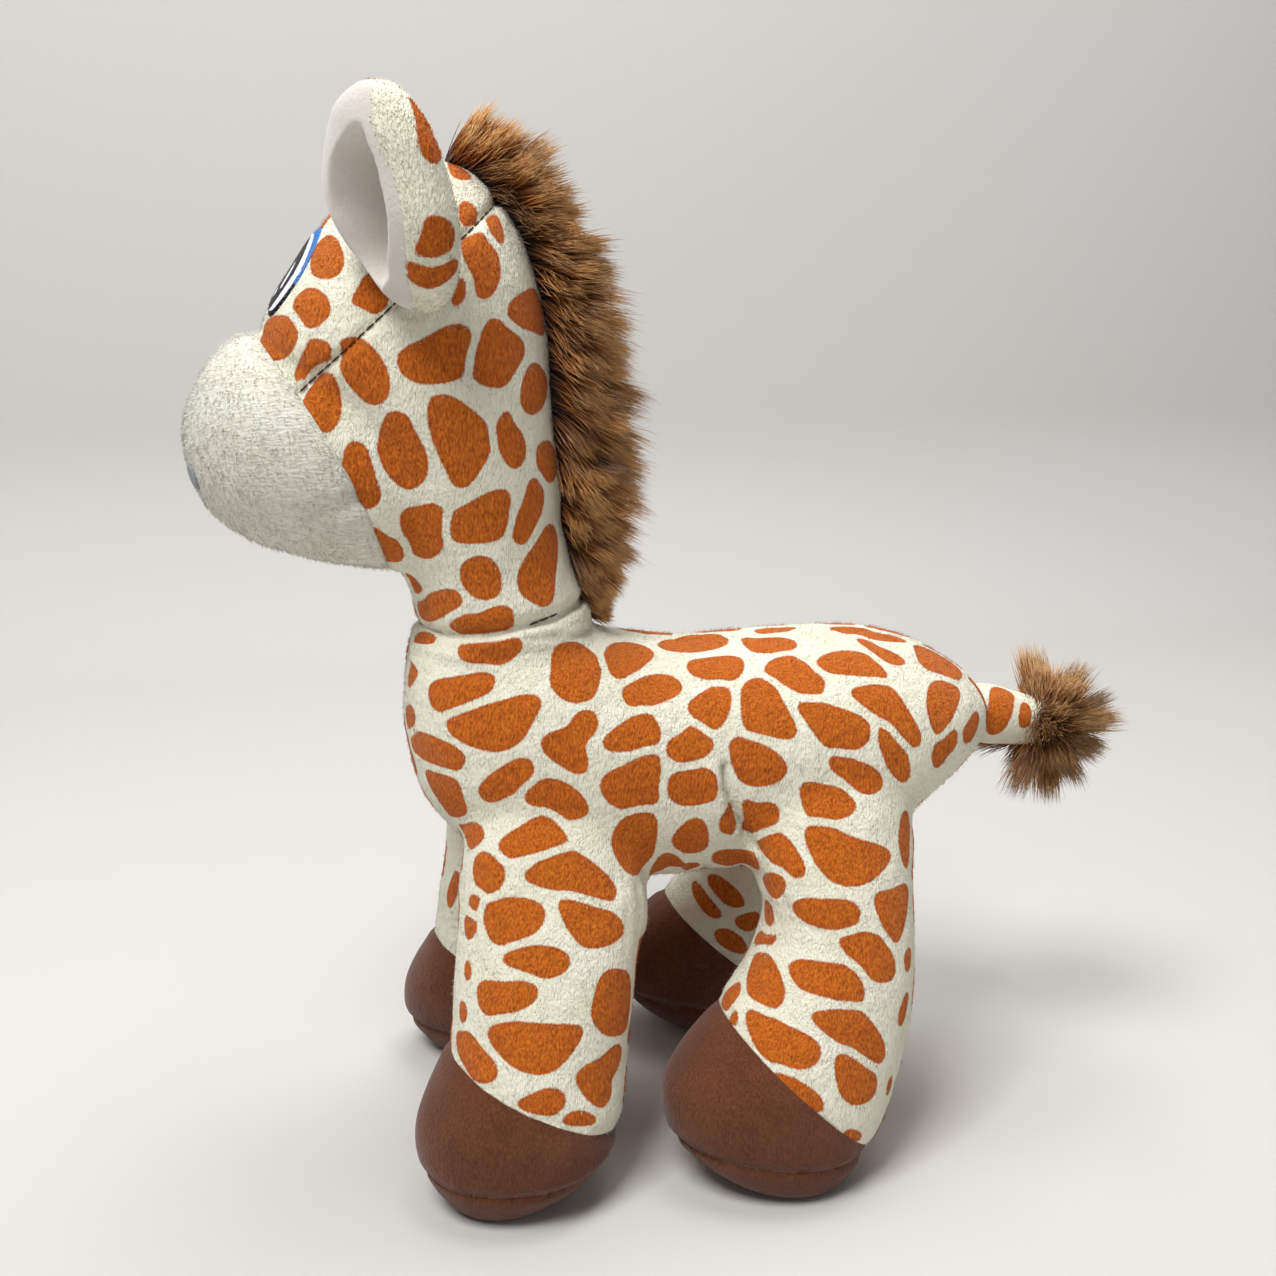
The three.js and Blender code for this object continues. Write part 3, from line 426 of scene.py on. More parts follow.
    "452,914 465,916 476,920 474,933 467,938 456,930",
    # Tail
    "992,687 1003,685 1012,693 1012,708 1006,722 998,732 990,733 988,722 991,705",
    "1021,704 1027,705 1029,715 1027,725 1022,726 1020,715",
    # The back of the near ear
    "429,220 440,220 450,226 453,235 450,246 442,256 432,259 422,256 418,252 423,240 427,228",
    "409,270 412,264 425,266 440,266 452,261 460,260 457,267 447,277 437,284 427,286 417,282 410,276",
    "410,98 416,103 424,117 432,137 440,152 437,161 430,159 424,150 421,135 419,120 414,107",
)


def linear(hex_code):
    """A scene-linear colour from an sRGB hex code."""
    channels = [int(hex_code[i : i + 2], 16) / 255 for i in (1, 3, 5)]
    return tuple(c / 12.92 if c <= 0.04045 else ((c + 0.055) / 1.055) ** 2.4 for c in channels)


def size(description, value):
    return bpy.props.FloatProperty(description=description, default=value, min=0, unit="LENGTH")


def colour(description, hex_code):
    limits = {"size": 3, "min": 0, "max": 1, "subtype": "COLOR"}
    return bpy.props.FloatVectorProperty(description=description, default=linear(hex_code), **limits)


class GiraffeSizes(bpy.types.PropertyGroup):
    """Sizes of the sewn and stuffed forms."""

    chest_to_middle: size("From the chest to the middle of the whole toy", 0.070905)
    belly_height: size("Height of the belly above the floor", 0.066)
    torso_length: size("Length of the stuffed torso", 0.147)
    torso_height: size("Height of the stuffed torso", 0.061)
    torso_width: size("Width of the stuffed torso", 0.06)
    gusset_width: size("Width of the panel under the belly", 0.026)
    head_height: size("From the neck's seat to the crown", 0.1015)
    head_depth: size("Length that the head's sections are shares of", 0.064)
    head_width: size("Width of the stuffed head", 0.054)
    muzzle_length: size("From the nose into the skull", 0.067)
    muzzle_height: size("Height of the stuffed muzzle", 0.05)
    muzzle_width: size("Width of the stuffed muzzle", 0.052)
    muzzle_seam_bow: size("Radius that the muzzle's seam bows by", 0.08)
    hip_offset: size("Distance of a hip from the middle", 0.016)
    front_hoof_offset: size("Distance of a front hoof from the middle", 0.0375)
    hind_hoof_offset: size("Distance of a hind hoof from the middle", 0.0395)
    leg_width: size("Width of a stuffed leg", 0.0375)
    front_hoof_length: size("Length of a front hoof", 0.048)
    hind_hoof_length: size("Length of a hind hoof", 0.055)
    sole_height: size("Height of the seam round a sole", 0.01)
    neck_seam_drop: size("How far the seam round the neck is below the neck's seat", 0.0014)
    collar_room: size("How far the body's cover stands off the neck's foot", 0.0011)
    ear_length: size("Length of an ear", 0.044)
    ear_width: size("Width of an ear's cup", 0.0255)
    ear_back: size("Thickness of the printed cloth behind an ear", 0.0006)
    eye_height: size("Height of an embroidered eye", 0.0187)
    eye_width: size("Width of an embroidered eye", 0.0108)
    eye_spacing: size("Distance between the eyes' middles", 0.0146)
    nostril_height: size("Height of an embroidered nostril", 0.006)
    nostril_width: size("Width of an embroidered nostril", 0.004)
    nostril_spacing: size("Distance between the nostrils' middles", 0.017)
    tail_length: size("Length of the tail's cover", 0.025)
    tail_radius: size("Radius of the tail's cover", 0.0064)
    mane_height: size("How far the mane's pile stands out", 0.021)
    mane_thickness: size("Width of the mane over its pile", 0.02)
    tuft_pile: size("Length of the tuft's pile", 0.0215)
    skin_grid: size("Spacing of the cover's points", 0.0011)
    seam_depth: size("How deep a sewn seam pulls in", 0.0011)
    seam_reach: size("How far from a seam the cover is pulled in", 0.0021)
    pucker_height: size("Height of the puckers beside a seam", 0.0003)
    stitch_length: size("Length of one machine stitch", 0.0026)
    thread_width: size("Thickness of the sewing thread", 0.00042)
    patch_bleed: size("How far the dye spreads past a drawn outline", 0.0008)
    patch_least_gap: size("Narrowest pale line between two drawn patches", 0.0018)
    patch_gap: size("Width of the pale lines between printed patches", 0.0024)
    patch_spacing: size("Distance between the middles of printed patches", 0.0122)


class GiraffeColours(bpy.types.PropertyGroup):
    """Colours of the cloths, piles and threads."""

    cream: colour("Ground of the printed plush", "#F8F6EA")
    patch: colour("Printed patches", "#C4641C")
    patch_edge: colour("Rim of a printed patch", "#B04A16")
    muzzle: colour("Plain plush of the muzzle", "#E6E4D9")
    lining: colour("Smooth plush inside the ears", "#D5CFC5")
    hoof: colour("Brown plush of the hooves", "#6F4129")
    pile_root: colour("Roots of the long pile", "#3A1A08")
    pile_middle: colour("Middle of the long pile", "#985B22")
    pile_tip: colour("Tips of the long pile", "#D9A866")
    seam_thread: colour("Thread of the printed plush's seams", "#4A2A1C")
    eye_black: colour("Outline and pupil", "#0B0D0F")
    eye_blue: colour("Upper rim of an eye", "#2A69AE")
    eye_white: colour("White of an eye", "#E4E4F2")
    nostril: colour("Thread of the nostrils", "#8D8F92")
    floor: colour("Floor and backdrop", "#CAC8C4")


def sewn(name):
    """A sewn cover or piece by its name."""
    return bpy.data.objects["sewn_" + name]


def sizes():
    return bpy.context.scene.giraffe_sizes


def colours():
    return bpy.context.scene.giraffe_colours


# Shapes

# How far one round of smoothing moves a point towards the mean of its neighbours, back out again,
# and towards that mean in a crease. A fold of that many grid steps counts as a full crease.
RELAX_SHARE, REGROW_SHARE, CREASE_SHARE = 0.5, 0.51, 0.6
FULL_FOLD = 0.02


def refined(rows, steps):
    """A section table with smooth in-between rows."""
    rows = np.asarray(rows, float)
    ends = np.vstack([2 * rows[0] - rows[1], rows, 2 * rows[-1] - rows[-2]])
    made = []
    for i in range(1, len(ends) - 2):
        a, b, c, d = ends[i - 1 : i + 3]
        for t in np.arange(steps) / steps:
            squared = (2 * a - 5 * b + 4 * c - d) * t * t
            cubed = (3 * b - a - 3 * c + d) * t**3
            made.append(0.5 * (2 * b + (c - a) * t + squared + cubed))
    return np.vstack([made, rows[-1]])


def lengths(vectors):
    """The length of each row of vectors."""
    return np.linalg.norm(vectors, axis=1)


def unit(vectors):
    """A vector, or rows of vectors, brought to length one."""
    if vectors.ndim == 1:
        return vectors / np.linalg.norm(vectors)
    return vectors / np.maximum(lengths(vectors), LEAST_LENGTH)[:, None]


def run_along(path):
    """How far along a path each of its points is."""
    return np.concatenate([[0], np.cumsum(lengths(np.diff(path, axis=0)))])


def between(values, run, place):
    """Rows of values, read at places along their run."""
    return np.stack([np.interp(place, run, column) for column in values.T], -1)


def bell(distance, width):
    """A smooth bump, 1 where the distance is zero."""
    return np.exp(-((distance / width) ** 2))


def loft(centres, across, rise, sides=48, roundness=2.0):
    """Points and faces of a closed tube through rounded sections, with half axes as vectors."""
    angle = np.arange(sides) / sides * 2 * np.pi
    swells = [np.sign(f) * np.abs(f) ** (2 / roundness) for f in (np.cos(angle), np.sin(angle))]
    sideways, upwards = (swell[None, :, None] for swell in swells)
    rings = centres[:, None] + across[:, None] * sideways + rise[:, None] * upwards
    points = np.vstack([rings.reshape(-1, 3), centres[0], centres[-1]])
    faces = []
    last = (len(centres) - 1) * sides
    for low in range(0, last, sides):
        high = low + sides
        for i in range(sides):
            j = (i + 1) % sides
            faces.append((low + i, low + j, high + j, high + i))
    for i in range(sides):
        j = (i + 1) % sides
        faces.append((last + sides, j, i))
        faces.append((last + sides + 1, last + i, last + j))
    return points, faces


def in_scene(name, mesh):
    """A new object in the scene that shows a mesh, shaded smooth."""
    mesh.shade_smooth()
    made = bpy.data.objects.new(name, mesh)
    bpy.context.scene.collection.objects.link(made)
    return made


def mesh_object(name, points, faces):
    mesh = bpy.data.meshes.new(name)
    mesh.from_pydata([tuple(p) for p in points], [], faces)
    mesh.validate()
    return in_scene(name, mesh)


def rows_of(items, key, width, kind=np.float32):
    """One property of all items of a mesh, a row for each."""
    values = np.empty(len(items) * width, kind)
    items.foreach_get(key, values)
    return values.reshape(-1, width)


def points_of(piece):
    return rows_of(piece.data.vertices, "co", 3).astype(float)


def normals_of(piece):
    return rows_of(piece.data.vertices, "normal", 3).astype(float)


def set_points(piece, points):
    piece.data.vertices.foreach_set("co", np.ascontiguousarray(points, np.float32).ravel())
    piece.data.update()


def raised(piece, rise):
    """Moves each point of a cover out by its own rise."""
    set_points(piece, points_of(piece) + rise[:, None] * normals_of(piece))


def set_attribute(mesh, name, values):
    """Gives each point of a mesh a number under that name."""
    layer = mesh.attributes.new(name, "FLOAT", "POINT")
    layer.data.foreach_set("value", np.ascontiguousarray(values, np.float32))


def edges_and_degrees(piece):
    """A cover's edges as pairs of points, and how many edges meet at each point."""
    edges = rows_of(piece.data.edges, "vertices", 2, np.int32)
    return edges, np.maximum(np.bincount(edges.ravel(), minlength=len(piece.data.vertices)), 1)


def neighbour_mean(values, edges, degrees):
    """The mean over each point's neighbours, column by column."""
    first, second = edges.T
    total = [
        np.bincount(first, column[second], len(values)) + np.bincount(second, column[first], len(values))
        for column in values.T
    ]
    return np.stack(total, 1) / degrees[:, None]


def smoothed(piece, rounds, weight=None):
    """Relaxes a skin. Everywhere, it is then swelled back, so that it keeps its size. By a weight for
    each point, it is only relaxed."""
    points = points_of(piece)
    edges, degrees = edges_and_degrees(piece)
    share = RELAX_SHARE if weight is None else CREASE_SHARE * weight[:, None]
    for _ in range(rounds):
        points += share * (neighbour_mean(points, edges, degrees) - points)
        if weight is None:
            points -= REGROW_SHARE * (neighbour_mean(points, edges, degrees) - points)
    set_points(piece, points)


def soften_creases(piece, rounds=26, spread=5):
    """Lets one form flow into the next: relaxes a skin only where it folds inwards."""
    points = points_of(piece)
    edges, degrees = edges_and_degrees(piece)
    fold = ((neighbour_mean(points, edges, degrees) - points) * normals_of(piece)).sum(1)[:, None]
    weight = np.clip(fold / (FULL_FOLD * sizes().skin_grid), 0, 1)
    for _ in range(spread):
        weight = np.maximum(weight, neighbour_mean(weight, edges, degrees))
    for _ in range(spread):
        weight = neighbour_mean(weight, edges, degrees)
    smoothed(piece, rounds, weight[:, 0])


def skin(name, lofts, grid=None):
    """One closed skin round several stuffed forms."""
    points, faces = [], []
    for form_points, form_faces in lofts:
        shift = sum(len(p) for p in points)
        points.append(form_points)
        faces += [tuple(i + shift for i in face) for face in form_faces]
    rough = mesh_object(name + "_forms", np.vstack(points), faces)
    grip = rough.modifiers.new("skin", "REMESH")
    grip.mode = "VOXEL"
    grip.voxel_size = grid or sizes().skin_grid
    ready = rough.evaluated_get(bpy.context.evaluated_depsgraph_get())
    mesh = bpy.data.meshes.new_from_object(ready)
    mesh.name = name
    bpy.data.objects.remove(rough)
    return in_scene(name, mesh)


def torso_place(along, rise):
    s = sizes()
    return np.array([along * s.torso_length - s.chest_to_middle, 0, s.belly_height + rise * s.torso_height])


def torso_loft():
    s = sizes()
    rows = refined(TORSO_SECTIONS, 5)
    centres = np.array([torso_place(r[0], (r[1] + r[2]) / 2) for r in rows])
    across = np.outer(np.maximum(rows[:, 3], 0) * s.torso_width / 2, ACROSS)
    rise = np.outer((rows[:, 2] - rows[:, 1]) * s.torso_height / 2, UP)
    return loft(centres, across, rise, roundness=TORSO_ROUNDNESS)


def leg_place(name, side, length_share, height, spread):
    s, leg = sizes(), LEGS[name]
    hoof_length = getattr(s, name + "_hoof_length")
    hoof_offset = getattr(s, name + "_hoof_offset")
    return np.array(
        [
            leg["place"] * s.torso_length + length_share * hoof_length - s.chest_to_middle,
            side * (s.hip_offset + spread * (hoof_offset - s.hip_offset)),
            height * (s.belly_height + leg["hip"] * s.torso_height),
        ]
    )


def leg_loft(name, side):
    s, leg = sizes(), LEGS[name]
    hip = (1.0, leg["hip_pole"], leg["hip_pole"], 0.0, 0.0)
    sole = (-0.004, leg["sole_pole"], leg["sole_pole"], 1.0, 0.0)
    rows = refined((hip, *leg["sections"], sole), 6)
    centres = np.array([leg_place(name, side, (r[1] + r[2]) / 2, r[0], r[3]) for r in rows])
    across = np.outer((rows[:, 2] - rows[:, 1]) * getattr(s, name + "_hoof_length") / 2, ALONG)
    rise = np.outer(np.maximum(rows[:, 4], 0) * s.leg_width / 2, ACROSS)
    return loft(centres, across, rise)


def neck_seat():
    return torso_place(*NECK_SEAT)


def head_place(depth, height):
    s = sizes()
    return neck_seat() + np.array([depth * s.head_depth, 0, height * s.head_height])


def skull_loft():
    s = sizes()
    rows = refined(SKULL_SECTIONS, 5)
    centres = np.array([head_place((r[1] + r[2]) / 2, r[0]) for r in rows])
    across = np.outer((rows[:, 2] - rows[:, 1]) * s.head_depth / 2, ALONG)
    rise = np.outer(np.maximum(rows[:, 3], 0) * s.head_width / 2, ACROSS)
    return loft(centres, across, rise)


def neck_seam_height(points):
    """How far points are above the seam round the neck."""
    seat = neck_seat()
    return points[:, 2] - (seat[2] - sizes().neck_seam_drop + NECK_SEAM_SLOPE * (points[:, 0] - seat[0]))


def collar_loft():
    """The body's cover where it rises round the foot of the neck."""
    s = sizes()
    heights, fullness = np.array(COLLAR_SECTIONS).T
    table = np.array(SKULL_SECTIONS)
    level = np.maximum(heights, COLLAR_LOWEST) + COLLAR_SECTION_LIFT
    front, back, width = (np.interp(level, table[:, 0], table[:, k]) for k in (1, 2, 3))
    seat, middles = neck_seat(), (front + back) / 2
    centres = [seat + ALONG * s.head_depth * m + UP * s.head_height * h for m, h in zip(middles, heights)]
    tilt = np.clip((heights - COLLAR_FOOT) / COLLAR_LEAN_RUN, 0, 1) * NECK_SEAM_SLOPE
    half = (back - front) / 2 * s.head_depth + s.collar_room
    across = (ALONG + np.outer(tilt, UP)) * (half * fullness)[:, None]
    rise = np.outer((width * s.head_width / 2 + s.collar_room) * fullness, ACROSS)
    return loft(np.array(centres), across, rise)


def muzzle_loft():
    s = sizes()
    rows = refined(MUZZLE_SECTIONS, 6)
    seat = head_place(*MUZZLE_SEAT)
    centres = seat + np.outer(rows[:, 0] * s.muzzle_length, ALONG)
    centres += np.outer(rows[:, 1] * s.muzzle_height, UP)
    across = np.outer(np.maximum(rows[:, 3], 0) * s.muzzle_width / 2, ACROSS)
    rise = np.outer(np.maximum(rows[:, 2], 0) * s.muzzle_height / 2, UP)
    return loft(centres, across, rise)


def tail_axes():
    """The direction along the tail, and the one that points up out of it."""
    return unit(np.array([1, 0, -TAIL_DROOP])), unit(np.array([TAIL_DROOP, 0, 1]))


def tail_place(along):
    return torso_place(*TAIL_SEAT) + along * sizes().tail_length * tail_axes()[0]


def tail_loft():
    s = sizes()
    rows = refined((*TAIL_TAPER, (1.0, 0.0)), 5)
    centres = np.array([tail_place(r[0]) for r in rows])
    width = np.maximum(rows[:, 1], 0) * s.tail_radius
    return loft(centres, np.outer(width, ACROSS), np.outer(width, tail_axes()[1]))


def ear_axes(side):
    """An ear's seat and its directions: along the leaf, towards its rear edge, and out of its cup."""
    s = sizes()
    seat = head_place(*EAR_SEAT[:2]) + side * EAR_SEAT[2] * s.head_width / 2 * ACROSS
    along = unit(np.array([-EAR_LEAN[0], side * EAR_LEAN[1], 1]))
    face = np.array([-EAR_FACE[0], side * EAR_FACE[1], 0])
    face = unit(face - face @ along * along)
    return seat, along, side * np.cross(face, along), face


def ear_leaf(row, angles):
    """One section of an ear's puffed leaf: places towards its rear edge and out of its cup."""
    _, shift, half, thick, front, rear, depth, _ = row
    across = max(half, 0) * np.cos(angles)
    rise = max(thick, 0) * np.sin(angles)
    share = np.clip((across - front) / max(rear - front, 0.02), 0, 1)
    hollow = max(depth, 0) * np.sin(np.pi * share**1.25) ** 1.2
    return np.stack([across + shift, rise - hollow * (np.sin(angles) > 0)], 1) * sizes().ear_width


def ear_section(row, part):
    """One closed section of an ear's lining or of its printed back."""
    if part == "lining":
        return ear_leaf(row, np.arange(EAR_LINING_SIDES) / EAR_LINING_SIDES * 2 * np.pi)
    share = np.linspace(-1, 1, EAR_BACK_SIDES)
    angles = np.radians(EAR_BACK_END + (share + 1) / 2 * (row[7] - EAR_BACK_END))
    outer = ear_leaf((*row[:6], 0.0, 0.0), angles)
    out = unit(np.stack([np.cos(angles) * max(row[3], 1e-3), np.sin(angles) * max(row[2], 1e-3)], 1))
    cloth = sizes().ear_back
    taper = min(1, 6 * max(row[2], 0))
    proud = cloth * (1 - 1.8 * np.abs(share) ** 10) * taper
    inner = -1.5 * cloth * taper
    return np.vstack([outer + out * proud[:, None], (outer + out * inner)[::-1]])


# Seams

# The puckers beside a seam: wave, how far they reach, and where they end.
PUCKER_WAVE, PUCKER_REACH, PUCKER_LIMIT = 0.0034, 0.0042, 0.009
# A distance past every seam.
FAR = 1.0
# One stitch: place along it, thickness, and rise, as shares of the thread's radius.
STITCH_PROFILE = ((0, 0.3, -0.4), (0.12, 0.8, 0.1), (0.5, 1, 0.45), (0.88, 0.8, 0.1), (1, 0.3, -0.4))
STITCH_SIDES = 6
LEAST_THREAD = 1e-5
# The belly's gathers: their height on the torso and how far they reach up and down and along.
GATHER_RISE, GATHER_LIMIT, GATHER_HALF = 0.09, 0.012, 0.028
# The belly's panel ends and the seam of the back begins at these heights on the torso.
GUSSET_TOP, SPINE_BOTTOM = 0.22, 0.5
# The collar's wrinkles: how far below the seam they are deepest and end, and how far round the neck.
COLLAR_FOLD, COLLAR_FOLD_END, COLLAR_FOLD_RADIUS = 0.0035, 0.011, 0.034
# The ridge in front of a flank's dart: its distance, and how many of the dart's points it follows.
DART_RIDGE, DART_RIDGE_POINTS = 0.0026, 4
# The run along the crown's seam that its thread is looked for on: start, end and step.
CROWN_THREAD = (-0.004, 0.058, 0.0006)


def square_to(run):
    """The direction at a right angle to a run, seen from the side."""
    return np.array([-run[2], 0, run[0]])


def seam_plane(shares):
    """A seam seen from the side as a straight line: a point on it, its run and its upward normal."""
    start, end = head_place(*shares[0]), head_place(*shares[1])
    run = unit(end - start)
    normal = square_to(run)
    return start, run, normal if normal[2] > 0 else -normal


def before_muzzle_seam(points):
    """Negative on the muzzle, positive behind its seam, zero on the seam."""
    start, run, _ = seam_plane(MUZZLE_SEAM)
    behind = square_to(run)
    if behind[0] < 0:
        behind = -behind
    bow = sizes().muzzle_seam_bow
    off = points - (start + behind * bow)
    off = off - np.outer(off @ run, run)
    chin = head_place(0, MUZZLE_SEAM[1][1])[2]
    return np.maximum(bow - lengths(off), chin - points[:, 2])


def hoof_field(name, side, points):
    """Negative on one hoof, below the seam with its leg's cover."""
    front, rear = [leg_place(name, side, *shares, 1) for shares in LEGS[name]["hoof_seam"]]
    run = unit(rear - front)
    middle = (torso_place(LEGS["front"]["place"], 0)[0] + torso_place(LEGS["hind"]["place"], 0)[0]) / 2
    beyond = points[:, 0] - middle if name == "front" else middle - points[:, 0]
    return np.maximum.reduce([(points - front) @ square_to(run), -side * points[:, 1], beyond])


def sole_field(name, side, points):
    """Negative on one sole, below the seam with its hoof."""
    s, leg = sizes(), LEGS[name]
    middle = leg_place(name, side, leg["sole_pole"], 0, 1) + UP * s.sole_height
    return (points - middle) @ unit(np.array([leg["sole_tilt"], 0, 1]))


def line_distance(points, line):
    """Distance of points from a line through several places."""
    nearest = np.full(len(points), np.inf)
    for a, b in zip(line[:-1], line[1:]):
        off, edge = points - a, b - a
        share = np.clip(off @ edge / (edge @ edge), 0, 1)
        nearest = np.minimum(nearest, lengths(off - share[:, None] * edge))
    return nearest


def pull_in(piece, distance, depth=None, reach=None):
    """Pulls a cover in along a seam, given each point's distance from the seam."""
    s = sizes()
    groove = (depth or s.seam_depth) * bell(distance, reach or s.seam_reach)
    near = np.flatnonzero(distance < PUCKER_LIMIT)
    fade = bell(distance[near], PUCKER_REACH)
    groove[near] -= s.pucker_height * ripples(points_of(piece)[near], PUCKER_WAVE, 5) * fade
    raised(piece, -groove)


def ripples(points, wave, seed):
    """Smooth noise between -1 and 1 over points, with bumps about one wave apart."""
    shift = Vector((seed * 7.31, seed * 3.17, seed * 1.7))
    return np.array([noise.noise(Vector(p) / wave + shift) for p in points])


def lumpy(piece, height, wave, seed):
    """The uneven swell of loose stuffing under soft cloth."""
    raised(piece, height * ripples(points_of(piece), wave, seed))


def wrinkled(piece, near, distance, stretch, width, wave, seed, height):
    """Raises wrinkles on some points of a cover. They fade with their distance from a line, over that
    width, and are drawn out along the axes with a small stretch."""
    points = points_of(piece)
    rise = ripples(points[near] * np.array(stretch), wave, seed) * bell(distance[near], width) * height
    points[near] += rise[:, None] * normals_of(piece)[near]
    set_points(piece, points)


def parted(piece, name, field):
    """Cuts a closed skin where a field over its points is zero. Both parts are capped, and the part
    where the field is negative becomes a new piece."""
    source = bmesh.new()
    source.from_mesh(piece.data)
    keys = [source.verts.layers.float.new("kept_" + axis) for axis in "xyz"]
    for vertex, value in zip(source.verts, field):
        for key, at in zip(keys, vertex.co):
            vertex[key] = at
        vertex.co.x = value
    parts = []
    for outer in (True, False):
        part = source.copy()
        layers = part.verts.layers.float
        bmesh.ops.bisect_plane(
            part,
            geom=part.verts[:] + part.edges[:] + part.faces[:],
            dist=1e-7,
            plane_co=(0, 0, 0),
            plane_no=(1, 0, 0),
            clear_outer=outer,
            clear_inner=not outer,
        )
        keys = [layers["kept_" + axis] for axis in "xyz"]
        for vertex in part.verts:
            vertex.co = [vertex[key] for key in keys]
        for axis in "xyz":
            layers.remove(layers["kept_" + axis])
        caps = bmesh.ops.holes_fill(part, edges=[e for e in part.edges if e.is_boundary], sides=0)
        bmesh.ops.poke(part, faces=[f for f in caps["faces"] if len(f.verts) > 4])
        for face in part.faces:
            face.smooth = True
        parts.append(part)
    source.free()
    mesh = bpy.data.meshes.new(name)
    parts[0].to_mesh(mesh)
    parts[1].to_mesh(piece.data)
    for part in parts:
        part.free()
    return in_scene(name, mesh)


def tree_of(pieces):
    """One search tree over several pieces' faces."""
    points, faces = [], []
    for piece in pieces:
        shift = len(points)
        points += [v.co.copy() for v in piece.data.vertices]
        faces += [tuple(i + shift for i in p.vertices) for p in piece.data.polygons]
    return BVHTree.FromPolygons(points, faces)


def stitches(name, rows, share):
    """Short threads laid along rows of points, each row with the cover's normals. A thread shows on
    that share of each stitch."""
    s = sizes()
    radius = s.thread_width / 2
    points, faces = [], []
    turns = np.arange(STITCH_SIDES) / STITCH_SIDES * 2 * np.pi
    for row, facings in rows:
        run = run_along(row)
        for i in range(int(run[-1] / s.stitch_length)):
            begin = between(row, run, (i + 0.5 - share / 2) * s.stitch_length)
            way = between(row, run, (i + 0.5 + share / 2) * s.stitch_length) - begin
            length = np.linalg.norm(way)
            if length < LEAST_THREAD:
                continue
            way /= length
            facing = between(facings, run, (i + 0.5) * s.stitch_length)
            facing = unit(facing - facing @ way * way)
            ring = np.outer(np.cos(turns), np.cross(way, facing)) + np.outer(np.sin(turns), facing)
            start = len(points)
            for t, width, rise in STITCH_PROFILE:
                middle = begin + way * length * t + facing * radius * rise
                points += list(middle + ring * radius * width)
            last = start + (len(STITCH_PROFILE) - 1) * STITCH_SIDES
            for low in range(start, last, STITCH_SIDES):
                for k in range(STITCH_SIDES):
                    a, b = low + k, low + (k + 1) % STITCH_SIDES
                    faces.append((a, b, b + STITCH_SIDES, a + STITCH_SIDES))
            faces.append(tuple(start + k for k in reversed(range(STITCH_SIDES))))
            faces.append(tuple(last + k for k in range(STITCH_SIDES)))
    return mesh_object(name, points, faces)


def on_cover(tree, points, lift):
    """Points moved onto the nearest cover, with its normals."""
    places, facings = [], []
    for point in points:
        place, facing, _, _ = tree.find_nearest(Vector(point))
        places.append(np.array(place) + lift * np.array(facing))
        facings.append(np.array(facing))
    return np.array(places), np.array(facings)


# Fibres: places along them and their widths there. The long pile tapers, the short nap runs out in a
# point. The nap's fibres start a little under the cloth and lie down and back.
PILE_TAPER = ((0.0, 1.0), (0.4, 0.9), (0.75, 0.6))
PILE_WIDTH = 0.00026
NAP_TAPER = ((0.0, 1.0),)
NAP_WIDTH, NAP_SINK = 0.00019, 0.0003
NAP_LIE, NAP_SPREAD = (0.4, 0, -0.92), 0.3
NAP_STAND, NAP_LEAN, NAP_LENGTHS, NAP_TINT = 0.5, 0.85, (0.6, 1.0), 0.5


def fibres(name, roots, tips, bows, width, tints, taper):
    """Three-sided fibres from roots to tips. Each bows by its own offset halfway."""
    count, each = len(roots), 3 * len(taper) + 1
    way = unit(tips - roots)
    first = unit(np.cross(way, np.array([0.3, 0.5, 0.81])))
    second = np.cross(way, first)
    points = np.empty((count, each, 3))
    for row, (t, wide) in enumerate(taper):
        middle = roots + (tips - roots) * t + bows * 4 * t * (1 - t)
        for k in range(3):
            turn = k * 2 * np.pi / 3
            ring = first * np.cos(turn) + second * np.sin(turn)
            points[:, row * 3 + k] = middle + ring * (width * wide / 2)
    points[:, -1] = tips
    corners = []
    for row in range(len(taper) - 1):
        for k in range(3):
            a, b = row * 3 + k, row * 3 + (k + 1) % 3
            corners += [(a, b, b + 3), (a, b + 3, a + 3)]
    last = each - 4
    corners += [(last + k, last + (k + 1) % 3, each - 1) for k in range(3)] + [(2, 1, 0)]
    faces = (np.arange(count)[:, None, None] * each + np.array(corners)[None]).reshape(-1, 3)
    mesh = bpy.data.meshes.new(name)
    mesh.vertices.add(count * each)
    mesh.vertices.foreach_set("co", points.astype(np.float32).ravel())
    mesh.loops.add(faces.size)
    mesh.loops.foreach_set("vertex_index", faces.astype(np.int32).ravel())
    mesh.polygons.add(len(faces))
    mesh.polygons.foreach_set("loop_start", np.arange(0, faces.size, 3, dtype=np.int32))
    mesh.update(calc_edges=True)
    mesh.validate()
    share = np.array([t for t, _ in taper for _ in range(3)] + [1.0])
    set_attribute(mesh, "along", np.tile(share, count))
    set_attribute(mesh, "tint", np.repeat(tints, each))
    return in_scene(name, mesh)


